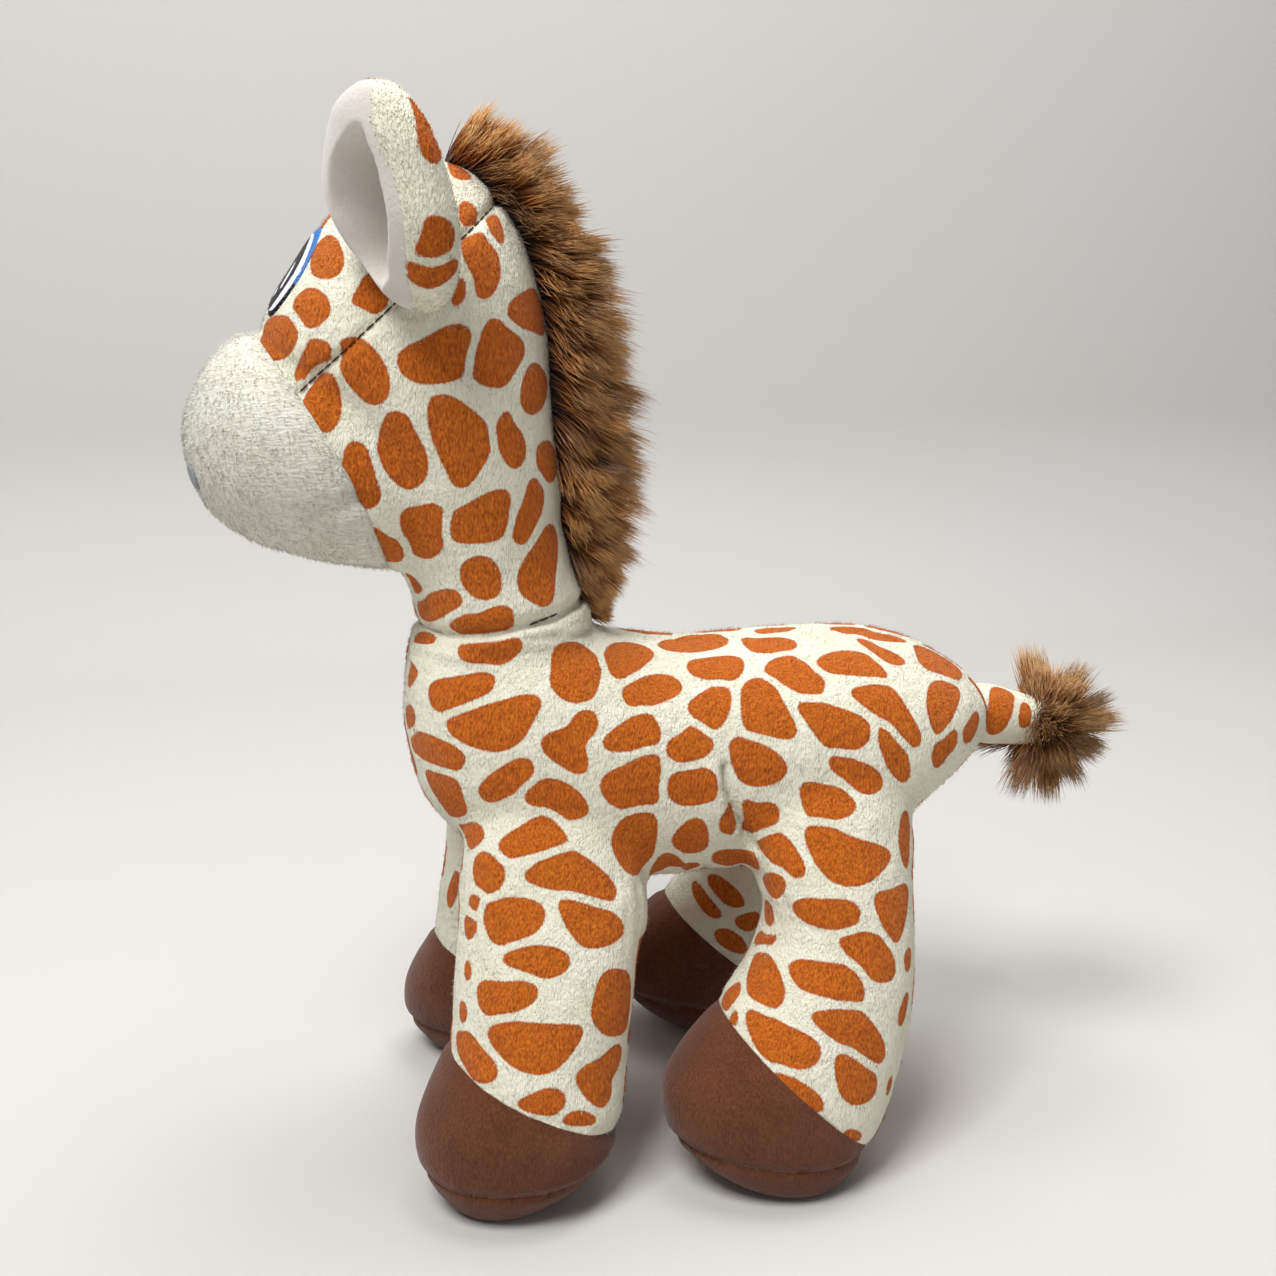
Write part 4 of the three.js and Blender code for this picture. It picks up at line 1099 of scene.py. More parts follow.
def nap(name, cover, count, length, random):
    """Short fibres that stand out of a cover and lean down and back, each as its cloth is printed."""
    cover.data.calc_loop_triangles()
    triangles = rows_of(cover.data.loop_triangles, "vertices", 3, np.int32)
    corners = points_of(cover)[triangles]
    area = lengths(np.cross(corners[:, 1] - corners[:, 0], corners[:, 2] - corners[:, 0]))
    chosen = random.choice(len(triangles), count, p=area / area.sum())
    share = random.dirichlet((1, 1, 1), count)
    places = (corners[chosen] * share[:, :, None]).sum(1)
    out = unit(normals_of(cover)[triangles[chosen]].mean(1))
    lie = np.array(NAP_LIE) + random.normal(0, NAP_SPREAD, (count, 3))
    lie -= (lie * out).sum(1)[:, None] * out
    aim = unit(NAP_STAND * out + NAP_LEAN * lie)
    roots = places - out * NAP_SINK
    tips = roots + aim * (length * random.uniform(*NAP_LENGTHS, count))[:, None]
    straight, tints = np.zeros((count, 3)), np.full(count, NAP_TINT)
    made = fibres(name, roots, tips, straight, NAP_WIDTH, tints, NAP_TAPER)
    if "patch" in cover.data.attributes:
        patch = rows_of(cover.data.attributes["patch"].data, "value", 1)[:, 0]
        each = len(made.data.vertices) // count
        set_attribute(made.data, "patch", np.repeat(patch[triangles[chosen, 0]], each))
    return made


def kd_tree(places):
    """A search tree over places."""
    tree = KDTree(len(places))
    for i, place in enumerate(places):
        tree.insert(place, i)
    tree.balance()
    return tree


def clumped(tips, keys, centres, pull, random):
    """Tips drawn together into locks: each goes part of the way to its nearest lock's own tip."""
    order = kd_tree(centres)
    lock = np.array([order.find(key)[1] for key in keys])
    total = np.stack([np.bincount(lock, column, len(centres)) for column in tips.T], 1)
    middle = total / np.maximum(np.bincount(lock, minlength=len(centres)), 1)[:, None]
    share = pull * random.uniform(0.5, 1.0, len(tips))[:, None]
    return tips + (middle[lock] - tips) * share, lock


def lock_tints(lock, locks, middle, spread, random):
    """A tint for each fibre, which varies from lock to lock and a little from fibre to fibre."""
    own = middle + spread * random.normal(0, 1, locks)[lock]
    return np.clip(own + random.normal(0, 0.2, len(lock)), 0, 1)


# Camera

PHOTO_SIDE = 1276
PHOTO_FOCUS = 1500
SENSOR = 36
CAMERA_PLACE = (-0.0780, -0.3481, 0.215)
CAMERA_YAW = math.radians(10.5)
CAMERA_PITCH = math.radians(14.3)

# The lamps: place, power and width. All are aimed at the toy's middle.
LAMPS = (
    ("key", (-0.42, -0.46, 1.12), 13.4, 0.45),
    ("fill", (0.5, -0.9, 0.45), 0.6, 0.9),
    ("top", (0.1, 0.15, 1.15), 7.2, 0.6),
)
LAMP_AIM = Vector((0, 0, 0.1))
# The room's colour as a light and as the camera sees it.
ROOM_LIGHT, ROOM_SEEN = (0.9, 0.93, 1.0), (0.97, 0.96, 0.94)
ROOM_LIGHT_LEVEL, ROOM_SEEN_LEVEL = 0.2, 0.6


def camera_axes():
    """The camera's right, up and viewing directions."""
    yaw, pitch = CAMERA_YAW, CAMERA_PITCH
    ahead = Vector((math.sin(yaw) * math.cos(pitch), math.cos(yaw) * math.cos(pitch), -math.sin(pitch)))
    right = Vector((math.cos(yaw), -math.sin(yaw), 0))
    return right, right.cross(ahead), ahead


def sight_line(x, y):
    """The direction in which the camera sees a pixel of the photograph."""
    right, up, ahead = camera_axes()
    half = PHOTO_SIDE / 2
    return (ahead * PHOTO_FOCUS + right * (x - half) + up * (half - y)).normalized()


# Print

# How far a patch is followed past its outline, and the depth within which its corners lie together.
PRINT_REACH = 0.006
SAME_DEPTH = 0.009
# A point counts as hidden when something lies that much in front of it.
HIDDEN_SLACK = 0.0015
# Only covers that face the camera at least that much count as seen.
LEAST_FACING = 0.2
# The grown patches: how far their seeds and edges stay off the drawn ones, and off what is seen.
SEED_CLEARANCE, DRAWN_CLEARANCE, SEEN_CLEARANCE = 0.0045, 0.0022, 0.002
# The least distance between two seeds' middles that is reckoned with.
LEAST_APART = 1e-4
# Their greatest radius, how softly it meets the lines between them, and the wobble of their edges.
PATCH_RADIUS, PATCH_BLEND = 0.0068, 0.004
WOBBLE_WAVE, WOBBLE_HEIGHT, DRAWN_WOBBLE = 0.006, 0.0011, 0.12
# Two points are on the same side of a cover when their normals' product is above that.
SAME_SIDE = -0.3


def rounded_outline(corners, rounds=2):
    """An outline with its corners cut round."""
    for _ in range(rounds):
        after = np.roll(corners, -1, 0)
        corners = np.stack([0.75 * corners + 0.25 * after, 0.25 * corners + 0.75 * after], 1).reshape(-1, 2)
    return corners


def inside_distance(points, corners):
    """How far points are inside an outline, negative outside it."""
    inside = np.zeros(len(points), bool)
    nearest = np.full(len(points), np.inf)
    for a, b in zip(corners, np.roll(corners, -1, 0)):
        edge = b - a
        off = points - a
        share = np.clip(off @ edge / max(edge @ edge, LEAST_LENGTH**2), 0, 1)
        nearest = np.minimum(nearest, lengths(off - share[:, None] * edge))
        rises = (a[1] > points[:, 1]) != (b[1] > points[:, 1])
        level = np.where(rises, points[:, 1] - a[1], 0) / (edge[1] if edge[1] else 1)
        inside ^= rises & (points[:, 0] < a[0] + level * edge[0])
    return np.where(inside, nearest, -nearest)


def laid_flat(offsets, first, second):
    """Offsets from a patch's middle laid flat, each keeping its length."""
    flat = np.stack([offsets @ first, offsets @ second], 1)
    length = np.maximum(lengths(flat), LEAST_LENGTH)
    return flat * (lengths(offsets) / length)[:, None]


def drawn_patches(tree):
    """The drawn patches, each laid on the cover that the camera sees at its corners."""
    camera = Vector(CAMERA_PLACE)
    patches = []
    for outline in PRINT_PATCHES:
        pixels = [map(float, corner.split(",")) for corner in outline.split()]
        hits = [tree.ray_cast(camera, sight_line(*pixel)) for pixel in pixels]
        hits = [hit for hit in hits if hit[0] is not None]
        if len(hits) < 3:
            continue
        places = np.array([hit[0] for hit in hits])
        depths = (places - np.array(camera)) @ np.array(camera_axes()[2])
        near = np.abs(depths - np.median(depths)) < SAME_DEPTH
        places = places[near]
        middle = places.mean(0)
        normal = unit(np.array([hit[1] for hit in hits])[near].mean(0))
        first = unit(np.cross(normal, UP if abs(normal[2]) < 0.9 else ALONG))
        second = np.cross(normal, first)
        corners = rounded_outline(laid_flat(places - middle, first, second))
        patches.append((middle, normal, first, second, corners, lengths(corners).max()))
    return patches


def drawn_print(patches, points, normals):
    """How far points are inside the drawn patches, in metres."""
    s = sizes()
    best = np.full(len(points), -PRINT_REACH)
    other = best.copy()
    for middle, normal, first, second, corners, radius in patches:
        offsets = points - middle
        near = (np.abs(offsets).max(1) < radius + PRINT_REACH) & (normals @ normal > -LEAST_FACING)
        if near.any():
            value = inside_distance(laid_flat(offsets[near], first, second), corners)
            other[near] = np.maximum(other[near], np.minimum(value, best[near]))
            best[near] = np.maximum(best[near], value)
    return np.minimum(best + s.patch_bleed, (best - other) / 2 - s.patch_least_gap / 2)


def seen_by_camera(tree, points, normals):
    """Which points face the camera with nothing in the way."""
    camera = np.array(CAMERA_PLACE)
    ways = points - camera
    distance = lengths(ways)
    ways /= distance[:, None]
    facing = -(ways * normals).sum(1) > LEAST_FACING
    seen = np.zeros(len(points), bool)
    for i in np.flatnonzero(facing):
        hit = tree.ray_cast(Vector(camera), Vector(ways[i]))
        seen[i] = hit[3] is not None and hit[3] > distance[i] - HIDDEN_SLACK
    return seen


def print_seeds(points, normals, free, seen_tree, random):
    """The middles of the grown patches: free points that stay one spacing apart."""
    cell = sizes().patch_spacing
    seeds, grid = [], {}
    steps = (-1, 0, 1)
    for i in random.permutation(free):
        key = tuple(np.floor(points[i] / cell).astype(int))
        around = [
            seed
            for x in steps
            for y in steps
            for z in steps
            for seed in grid.get((key[0] + x, key[1] + y, key[2] + z), ())
        ]
        close = (j for j in around if np.linalg.norm(points[i] - points[j]) < cell)
        if any(normals[i] @ normals[j] > SAME_SIDE for j in close):
            continue
        if seen_tree.find(points[i])[2] < 0.35 * cell:
            continue
        grid.setdefault(key, []).append(i)
        seeds.append(i)
    return seeds


def grown_print(points, normals, seeds, wanted, random):
    """How far the wanted points are inside the patches grown round the seeds, in metres."""
    half_gap = sizes().patch_gap / 2
    places, facings = points[seeds], normals[seeds]
    stretch = random.uniform(0.82, 1.2, len(seeds))
    order = kd_tree(places)
    grown = np.full(len(points), -PRINT_REACH)
    for i in wanted:
        found = order.find_n(points[i], 6)
        near = sorted((far * stretch[j], j) for _, j, far in found if facings[j] @ normals[i] > SAME_SIDE)
        if not near:
            continue
        first, j = near[0]
        value = PATCH_RADIUS - first
        for second, k in near[1:4]:
            apart = max(np.linalg.norm(places[j] - places[k]), LEAST_APART)
            edge = (second**2 - first**2) / (2 * apart) - half_gap
            share = min(max(0.5 + (edge - value) / PATCH_BLEND, 0), 1)
            value = edge * (1 - share) + value * share - PATCH_BLEND / 2 * share * (1 - share)
        grown[i] = value
    return grown


def print_patches(pieces, others):
    """Gives each printed piece its print: how far each point is inside a patch, in millimetres. The
    other pieces only hide what is behind them."""
    tree = tree_of([*pieces, *others])
    points = np.vstack([points_of(piece) for piece in pieces])
    normals = np.vstack([normals_of(piece) for piece in pieces])
    drawn = drawn_print(drawn_patches(tree), points, normals)
    seen = seen_by_camera(tree, points, normals)
    random = np.random.default_rng(11)
    free = np.flatnonzero(~seen & (drawn < -SEED_CLEARANCE))
    seeds = print_seeds(points, normals, free, kd_tree(points[seen]), random)
    grown = grown_print(points, normals, seeds, np.flatnonzero(~seen | (drawn < 0)), random)
    wobble = ripples(points, WOBBLE_WAVE, 3) * WOBBLE_HEIGHT
    fill = np.minimum(grown + wobble, -drawn - DRAWN_CLEARANCE)
    fill[seen] = np.minimum(fill[seen], -SEEN_CLEARANCE)
    value = np.maximum(drawn + wobble * DRAWN_WOBBLE, fill) * 1000
    start = 0
    for piece in pieces:
        end = start + len(piece.data.vertices)
        set_attribute(piece.data, "patch", value[start:end])
        start = end


# Materials

# Noise cells of the cloths, in millimetres across, along and up.
FRAY_CELL = (0.3, 0.3, 0.8)
RIB_CELL = (0.42, 0.42, 1.2)
DENT_CELL = (4, 4, 4)
MOTTLE_CELL = (9, 9, 9)
SATIN_CELL = (2.5, 2.5, 0.22)
PLY_CELL = (0.3, 0.3, 0.3)
# The printed plush: what the darkest ground, the lightest dye and the darkest dye are times their colour. Over
# the tufts of pile these are partly painted light: a painted highlight on the tufts' tips and painted shade
# between them. The rest is the print's own uneven tone and the ground's random mottle.
GROUND_MOTTLE_AND_SHADE = (0.84, 0.83, 0.71)
LIGHT_DYE_AND_HIGHLIGHT, DARK_DYE_AND_SHADE = (1.22, 1.36, 1.34), (0.66, 0.58, 0.54)
# The plain plushes: colour, what its darkest streaks are times it, noise cell, sheen and relief.
PLAIN_PLUSH = {
    "brown_short_plush": ("hoof", (0.46, 0.42, 0.38), (0.45, 0.45, 1.2), 0.2, 0.0006),
    "ivory_brushed_plush": ("muzzle", (0.74, 0.73, 0.64), (2.2, 0.5, 0.6), 0.25, 0.0009),
    "white_smooth_plush": ("lining", (0.93, 0.93, 0.94), (0.7, 0.7, 0.9), 0.4, 0.0003),
}
# An embroidered pad: spacing of its points, lift off the cover, bulge, depth into the cloth, and how
# far off its points start to look for the cover.
PAD_STEP, PAD_LIFT, PAD_BULGE, PAD_DEPTH, PAD_REACH = 0.00018, 0.0001, 0.0007, 0.0006, 0.03


def add_node(tree, kind, inputs=None, **properties):
    """Adds a node with some of its properties set. Each input gets a value, or a link to a socket."""
    made = tree.nodes.new(kind)
    for name, value in properties.items():
        setattr(made, name, value)
    for name, value in (inputs or {}).items():
        if isinstance(value, bpy.types.NodeSocket):
            tree.links.new(value, made.inputs[name])
        else:
            made.inputs[name].default_value = value
    return made


def opaque(rgb, factors=(1.0, 1.0, 1.0)):
    """A colour, each channel times its factor, as a socket takes it."""
    return (*(v * f for v, f in zip(rgb, factors)), 1.0)


def attribute(tree, name, output="Fac"):
    """What the mesh says at each point under that name."""
    return add_node(tree, "ShaderNodeAttribute", attribute_name=name).outputs[output]


def grain(tree, cell, detail=2.0):
    """Noise over the object, with cells of that many millimetres."""
    at = add_node(tree, "ShaderNodeTexCoord").outputs["Object"]
    stretch = tuple(1000 / side for side in cell)
    at = add_node(tree, "ShaderNodeVectorMath", {0: at, 1: stretch}, operation="MULTIPLY").outputs[0]
    return add_node(tree, "ShaderNodeTexNoise", {"Vector": at, "Scale": 1.0, "Detail": detail}).outputs["Fac"]


def ranged(tree, value, low, high, to_low=0.0, to_high=1.0):
    """A value's range from low to high, spread over another range and held to it."""
    limits = {"From Min": low, "From Max": high, "To Min": to_low, "To Max": to_high}
    return add_node(tree, "ShaderNodeMapRange", {"Value": value, **limits}).outputs[0]


def scaled_sum(tree, value, factor, added):
    """A value times a factor, plus another value."""
    inputs = {0: value, 1: factor, 2: added}
    return add_node(tree, "ShaderNodeMath", inputs, operation="MULTIPLY_ADD").outputs[0]


def mixed(tree, share, first, second):
    """A mix of two colours by the second one's share."""
    return add_node(tree, "ShaderNodeMix", {0: share, 6: first, 7: second}, data_type="RGBA").outputs[2]


def shaded(tree, tone, share, darkest, lightest):
    """A colour times a factor, from the darkest at a share of 0 to the lightest at 1."""
    level = ranged(tree, share, 0.0, 1.0, darkest, lightest)
    return add_node(tree, "ShaderNodeHueSaturation", {"Value": level, "Color": tone}).outputs[0]


def bumped(tree, height, strength, depth, **under):
    """A normal with a relief of that depth in metres, over another Normal where one is given."""
    inputs = {"Height": height, "Strength": strength, "Distance": depth, **under}
    return add_node(tree, "ShaderNodeBump", inputs).outputs[0]


def plush_shader(name, roughness, sheen, gloss=0.12):
    """A new material whose shader is a matt cloth with the soft light edge of a standing pile."""
    material = bpy.data.materials.new(name)
    material.use_nodes = True
    shader = material.node_tree.nodes["Principled BSDF"]
    shader.inputs["Roughness"].default_value = roughness
    shader.inputs["IOR"].default_value = 1.5
    shader.inputs["Specular IOR Level"].default_value = gloss
    shader.inputs["Sheen Weight"].default_value = sheen
    shader.inputs["Sheen Roughness"].default_value = 0.5
    return material, material.node_tree, shader


def printed_plush():
    """Printed short-pile plush: cream polyester velour, heat-printed with orange-brown patches, so
    the patches have soft edges and fine upright ribs of pile."""
    c = colours()
    material, tree, shader = plush_shader("printed_velour_plush", 0.85, 0.08)
    # Fibre ends scatter the print's edge over a tenth of a millimetre or two.
    fray = scaled_sum(tree, grain(tree, FRAY_CELL), 0.8, -0.4)
    patch = attribute(tree, "patch")
    edge = add_node(tree, "ShaderNodeMath", {0: patch, 1: fray}, operation="ADD").outputs[0]
    inside, rim = ranged(tree, edge, -0.2, 0.2), ranged(tree, edge, 0.2, 0.9, 0.5, 0.0)
    # Tufts of pile half a millimetre wide stand a little apart, longer up and down.
    ribs = grain(tree, RIB_CELL, 3.0)
    # The tufts' tips get a painted highlight and the gaps between them painted shade, mixed with the print's own
    # uneven tone.
    tuft_tone_and_shade = ranged(tree, ribs, 0.32, 0.68)
    uneven = scaled_sum(tree, tuft_tone_and_shade, 0.45, grain(tree, MOTTLE_CELL))
    # The ground darkens by random mottle and by the painted shade between tufts.
    ground = mixed(tree, uneven, opaque(c.cream), opaque(c.cream, GROUND_MOTTLE_AND_SHADE))
    # The dye runs from a painted highlight on the tufts' tips to painted shade between them.
    dye = mixed(tree, tuft_tone_and_shade, opaque(c.patch, LIGHT_DYE_AND_HIGHLIGHT), opaque(c.patch, DARK_DYE_AND_SHADE))
    rimmed = mixed(tree, rim, dye, opaque(c.patch_edge))
    tree.links.new(mixed(tree, inside, ground, rimmed), shader.inputs["Base Color"])
    fine = bumped(tree, ribs, 0.9, 0.0007)
    soft = bumped(tree, grain(tree, DENT_CELL, 3.0), 0.7, 0.0012, Normal=fine)
    tree.links.new(soft, shader.inputs["Normal"])
    return material


def napped_plush(name):
    """Plain plush with a brushed nap, in streaks."""
    key, darkest, cell, sheen, relief = PLAIN_PLUSH[name]
    base = getattr(colours(), key)
    material, tree, shader = plush_shader(name, 0.9, sheen)
    streaks = grain(tree, cell, 4.0)
    tone = scaled_sum(tree, grain(tree, MOTTLE_CELL), 0.4, streaks)
    shade = mixed(tree, ranged(tree, tone, 0.45, 0.95), opaque(base), opaque(base, darkest))
    tree.links.new(shade, shader.inputs["Base Color"])
    tree.links.new(bumped(tree, streaks, 0.6, relief), shader.inputs["Normal"])
    return material


def long_pile():
    """Long polyester pile, dyed golden brown and faded at its tips: each fibre has a soft gloss."""
    c = colours()
    material, tree, shader = plush_shader("long_tipped_pile", 0.38, 0.05, gloss=0.7)
    ramp = add_node(tree, "ShaderNodeValToRGB", {0: attribute(tree, "along")})
    stops = ramp.color_ramp.elements
    stops[0].color, stops[1].color = opaque(c.pile_root), opaque(c.pile_tip)
    stops.new(0.55).color = opaque(c.pile_middle)
    shade = shaded(tree, ramp.outputs[0], attribute(tree, "tint"), 0.55, 1.45)
    tree.links.new(shade, shader.inputs["Base Color"])
    return material


def embroidery(name):
    """Satin-stitched rayon thread: glossy, in fine level rows that a light runs along."""
    material, tree, shader = plush_shader(name, 0.45, 0.0, gloss=0.3)
    rows = grain(tree, SATIN_CELL, 1.0)
    shade = shaded(tree, attribute(tree, "thread", "Color"), rows, 0.6, 1.35)
    tree.links.new(shade, shader.inputs["Base Color"])
    tree.links.new(bumped(tree, rows, 0.6, 0.00015), shader.inputs["Normal"])
    return material


def embroidered(name, tree, seat, out, side, width, height, colour_of):
    """A closed pad of thread laid on the cover, coloured point by point."""
    columns, rows = int(width / PAD_STEP), int(height / PAD_STEP)
    across, over = np.cross(UP, out), unit(UP - UP @ out * out)
    across *= side if across[1] > 0 else -side
    grid_u, grid_v = np.meshgrid(np.linspace(-1, 1, columns), np.linspace(-1, 1, rows))
    u = (grid_u * np.sqrt(1 - grid_v**2 / 2)).ravel()
    v = (grid_v * np.sqrt(1 - grid_u**2 / 2)).ravel()
    tops, bottoms = [], []
    for a, b in zip(u, v):
        origin = seat + out * PAD_REACH + across * (a * width / 2) + over * (b * height / 2)
        place, facing, _, _ = tree.ray_cast(Vector(origin), Vector(-out))
        if place is None:
            place, facing = Vector(origin - out * PAD_REACH), Vector(out)
        pad = PAD_LIFT + PAD_BULGE * max(0.0, 1 - np.hypot(a, b) ** 10)
        tops.append(np.array(place) + pad * np.array(facing))
        bottoms.append(np.array(place) - PAD_DEPTH * np.array(facing))
    count = columns * rows
    faces = []
    for i in range(rows - 1):
        for j in range(columns - 1):
            a = i * columns + j
            faces.append((a, a + 1, a + columns + 1, a + columns))
            faces.append((count + a, count + a + columns, count + a + columns + 1, count + a + 1))
    rim = list(range(columns))
    rim += [i * columns + columns - 1 for i in range(1, rows)]
    rim += [(rows - 1) * columns + j for j in range(columns - 2, -1, -1)]
    rim += [i * columns for i in range(rows - 2, 0, -1)]
    for a, b in zip(rim, rim[1:] + rim[:1]):
        faces.append((a, a + count, b + count, b))
    if np.cross(across, over) @ out < 0:
        faces = [face[::-1] for face in faces]
    made = mesh_object(name, tops + bottoms, faces)
    colour = np.ones((2, count, 4), np.float32)
    colour[:, :, :3] = colour_of(u, v)
    layer = made.data.color_attributes.new("thread", "FLOAT_COLOR", "POINT")
    layer.data.foreach_set("color", colour.ravel())
    return made


def thread(name, rgb):
    """Twisted polyester sewing thread: a slight gloss across fine turns of the ply."""
    material, tree, shader = plush_shader(name, 0.5, 0.0)
    ply = grain(tree, PLY_CELL, 1.0)
    tree.links.new(mixed(tree, ply, opaque(rgb), opaque(rgb, (0.6, 0.6, 0.6))), shader.inputs["Base Color"])
    tree.links.new(bumped(tree, ply, 0.5, 0.0001), shader.inputs["Normal"])
    return material


def finish_piece(piece, body, slot, material, *nodes):
    """Gives a piece its material, hangs it on the body that it rides on, and hides the parts that it stands for.
    """
    piece.data.materials.clear()
    piece.data.materials.append(material)
    if body:
        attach(piece, body)
    if nodes:
        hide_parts(*nodes)


# Pieces


class GIRAFFE_OT_body(bpy.types.Operator):
    """Sew the body's printed cover, with the hooves and soles"""

    bl_idname = "giraffe.body"
    bl_label = "Body, legs and hooves"

    def execute(self, context):
        s = sizes()
        legs = [(name, side) for name in LEGS for side in (LEFT, RIGHT)]
        body = skin("sewn_body", [torso_loft(), collar_loft(), *[leg_loft(*leg) for leg in legs]])
        smoothed(body, 4)
        soften_creases(body)
        lumpy(body, height=0.00045, wave=0.017, seed=1)
        points = points_of(body)
        seams = np.full(len(points), FAR)
        for leg in legs:
            seams = np.minimum(seams, np.abs(hoof_field(*leg, points)))
        pull_in(body, seams, depth=0.0008)
        gusset = np.abs(np.abs(points[:, 1]) - s.gusset_width / 2)
        gusset[points[:, 2] > torso_place(0, GUSSET_TOP)[2]] = FAR
        spine = np.abs(points[:, 1]) + FAR * (points[:, 2] < torso_place(0, SPINE_BOTTOM)[2])
        pull_in(body, np.minimum(gusset, spine), depth=0.0005, reach=0.0012)
        self.gather_belly(body)
        self.tuck_dart(body)
        self.wrinkle_collar(body)
        brown = napped_plush("brown_short_plush")
        for name, side in legs:
            own = SIDE_NAMES[side]
            hoof = parted(body, f"sewn_{name}_hoof_{own}", hoof_field(name, side, points_of(body)))
            pull_in(hoof, np.abs(sole_field(name, side, points_of(hoof))), depth=0.0009, reach=0.0014)
            sole = parted(hoof, f"sewn_{name}_sole_{own}", sole_field(name, side, points_of(hoof)))
            level = points_of(sole)
            level[:, 2] = np.maximum(level[:, 2], 0)
            set_points(sole, level)
            for piece, kind in ((hoof, "hoof"), (sole, "sole")):
                finish_piece(piece, "body", "brown_plush", brown, f"{name}_{kind}_{own}")
        nodes = ["body_panel_left", "body_panel_right", "belly_gusset", "body_filling"]
        nodes += [f"{n}_leg_{kind}_{SIDE_NAMES[side]}" for n, side in legs for kind in ("cover", "filling")]
        finish_piece(body, "body", "printed_plush", printed_plush(), *nodes)
        return {"FINISHED"}

    @staticmethod
    def gather_belly(body):
        """Short upright gathers where the side panels turn under into the belly's panel."""
        points = points_of(body)
        rim = np.abs(points[:, 2] - torso_place(0, GATHER_RISE)[2])
        near = np.flatnonzero((rim < GATHER_LIMIT) & (np.abs(points[:, 0]) < GATHER_HALF))
        wrinkled(body, near, rim, (1.0, 0.3, 0.22), width=0.006, wave=0.0024, seed=17, height=0.001)

    @staticmethod
    def tuck_dart(body):
        """Each flank's dart: a groove with a ridge in front of it."""
        points, half = points_of(body), sizes().torso_width / 2
        for side in (LEFT, RIGHT):
            line = np.array([torso_place(a, r) + ACROSS * side * w * half for a, r, w in FLANK_DART])
            pull_in(body, line_distance(points, line), depth=0.0026, reach=0.0012)
            ridge = line_distance(points, line[:DART_RIDGE_POINTS] - ALONG * DART_RIDGE)
            pull_in(body, ridge, depth=-0.0012, reach=0.0016)

    @staticmethod
    def wrinkle_collar(body):
        """Level wrinkles where the neck's weight settles on the body's cover."""
        points = points_of(body)
        above = neck_seam_height(points)
        around = np.hypot(points[:, 0] - neck_seat()[0], points[:, 1])
        near = np.flatnonzero((above > -COLLAR_FOLD_END) & (around < COLLAR_FOLD_RADIUS))
        below = above + COLLAR_FOLD
        wrinkled(body, near, below, (0.22, 0.22, 1.0), width=0.0042, wave=0.0023, seed=12, height=0.0014)


class GIRAFFE_OT_head(bpy.types.Operator):
    """Sew the head's printed cover and the plain muzzle"""

    bl_idname = "giraffe.head"
    bl_label = "Head and muzzle"

    def execute(self, context):
        head = skin("sewn_head", [skull_loft(), muzzle_loft()], grid=0.0009)
        smoothed(head, 5)
        soften_creases(head, rounds=20, spread=6)
        lumpy(head, height=0.0004, wave=0.015, seed=2)
        points = points_of(head)
        field = before_muzzle_seam(points)
        pull_in(head, np.abs(field), depth=0.0009)
        start, run, normal = seam_plane(CROWN_SEAM)
        beyond = FAR * (field < 0) + FAR * ((points - start) @ run < -CROWN_SEAM_LEAD)
        pull_in(head, np.abs((points - start) @ normal) + beyond, depth=0.0012, reach=0.0013)
        pull_in(head, np.abs(neck_seam_height(points) - 0.0006), depth=0.0017, reach=0.0018)
        start, run, normal = seam_plane(MOUTH_SEAM)
        fade = np.clip(1 - (points - start) @ run / MOUTH_LENGTH, 0, 1) * (field < 0)
        crease = MOUTH_DEPTH * fade * bell((points - start) @ normal, MOUTH_WIDTH)
        raised(head, -crease)
        muzzle = parted(head, "sewn_muzzle", before_muzzle_seam(points_of(head)))
        ivory = napped_plush("ivory_brushed_plush")
        finish_piece(muzzle, "head", "cream_plush", ivory, "muzzle_upper", "muzzle_chin")
        nodes = ["crown_panel", "neck_panel_left", "neck_panel_right", "head_filling"]
        finish_piece(head, None, "printed_plush", bpy.data.materials["printed_velour_plush"], *nodes)
        return {"FINISHED"}


class GIRAFFE_OT_tail(bpy.types.Operator):
    """Sew the tail's printed cover"""

    bl_idname = "giraffe.tail"
    bl_label = "Tail"

    def execute(self, context):
        tail = skin("sewn_tail", [tail_loft()], grid=0.0009)
        smoothed(tail, 3)
        nodes = ["tail_cover", "tail_filling"]
        finish_piece(tail, None, "printed_plush", bpy.data.materials["printed_velour_plush"], *nodes)
        return {"FINISHED"}


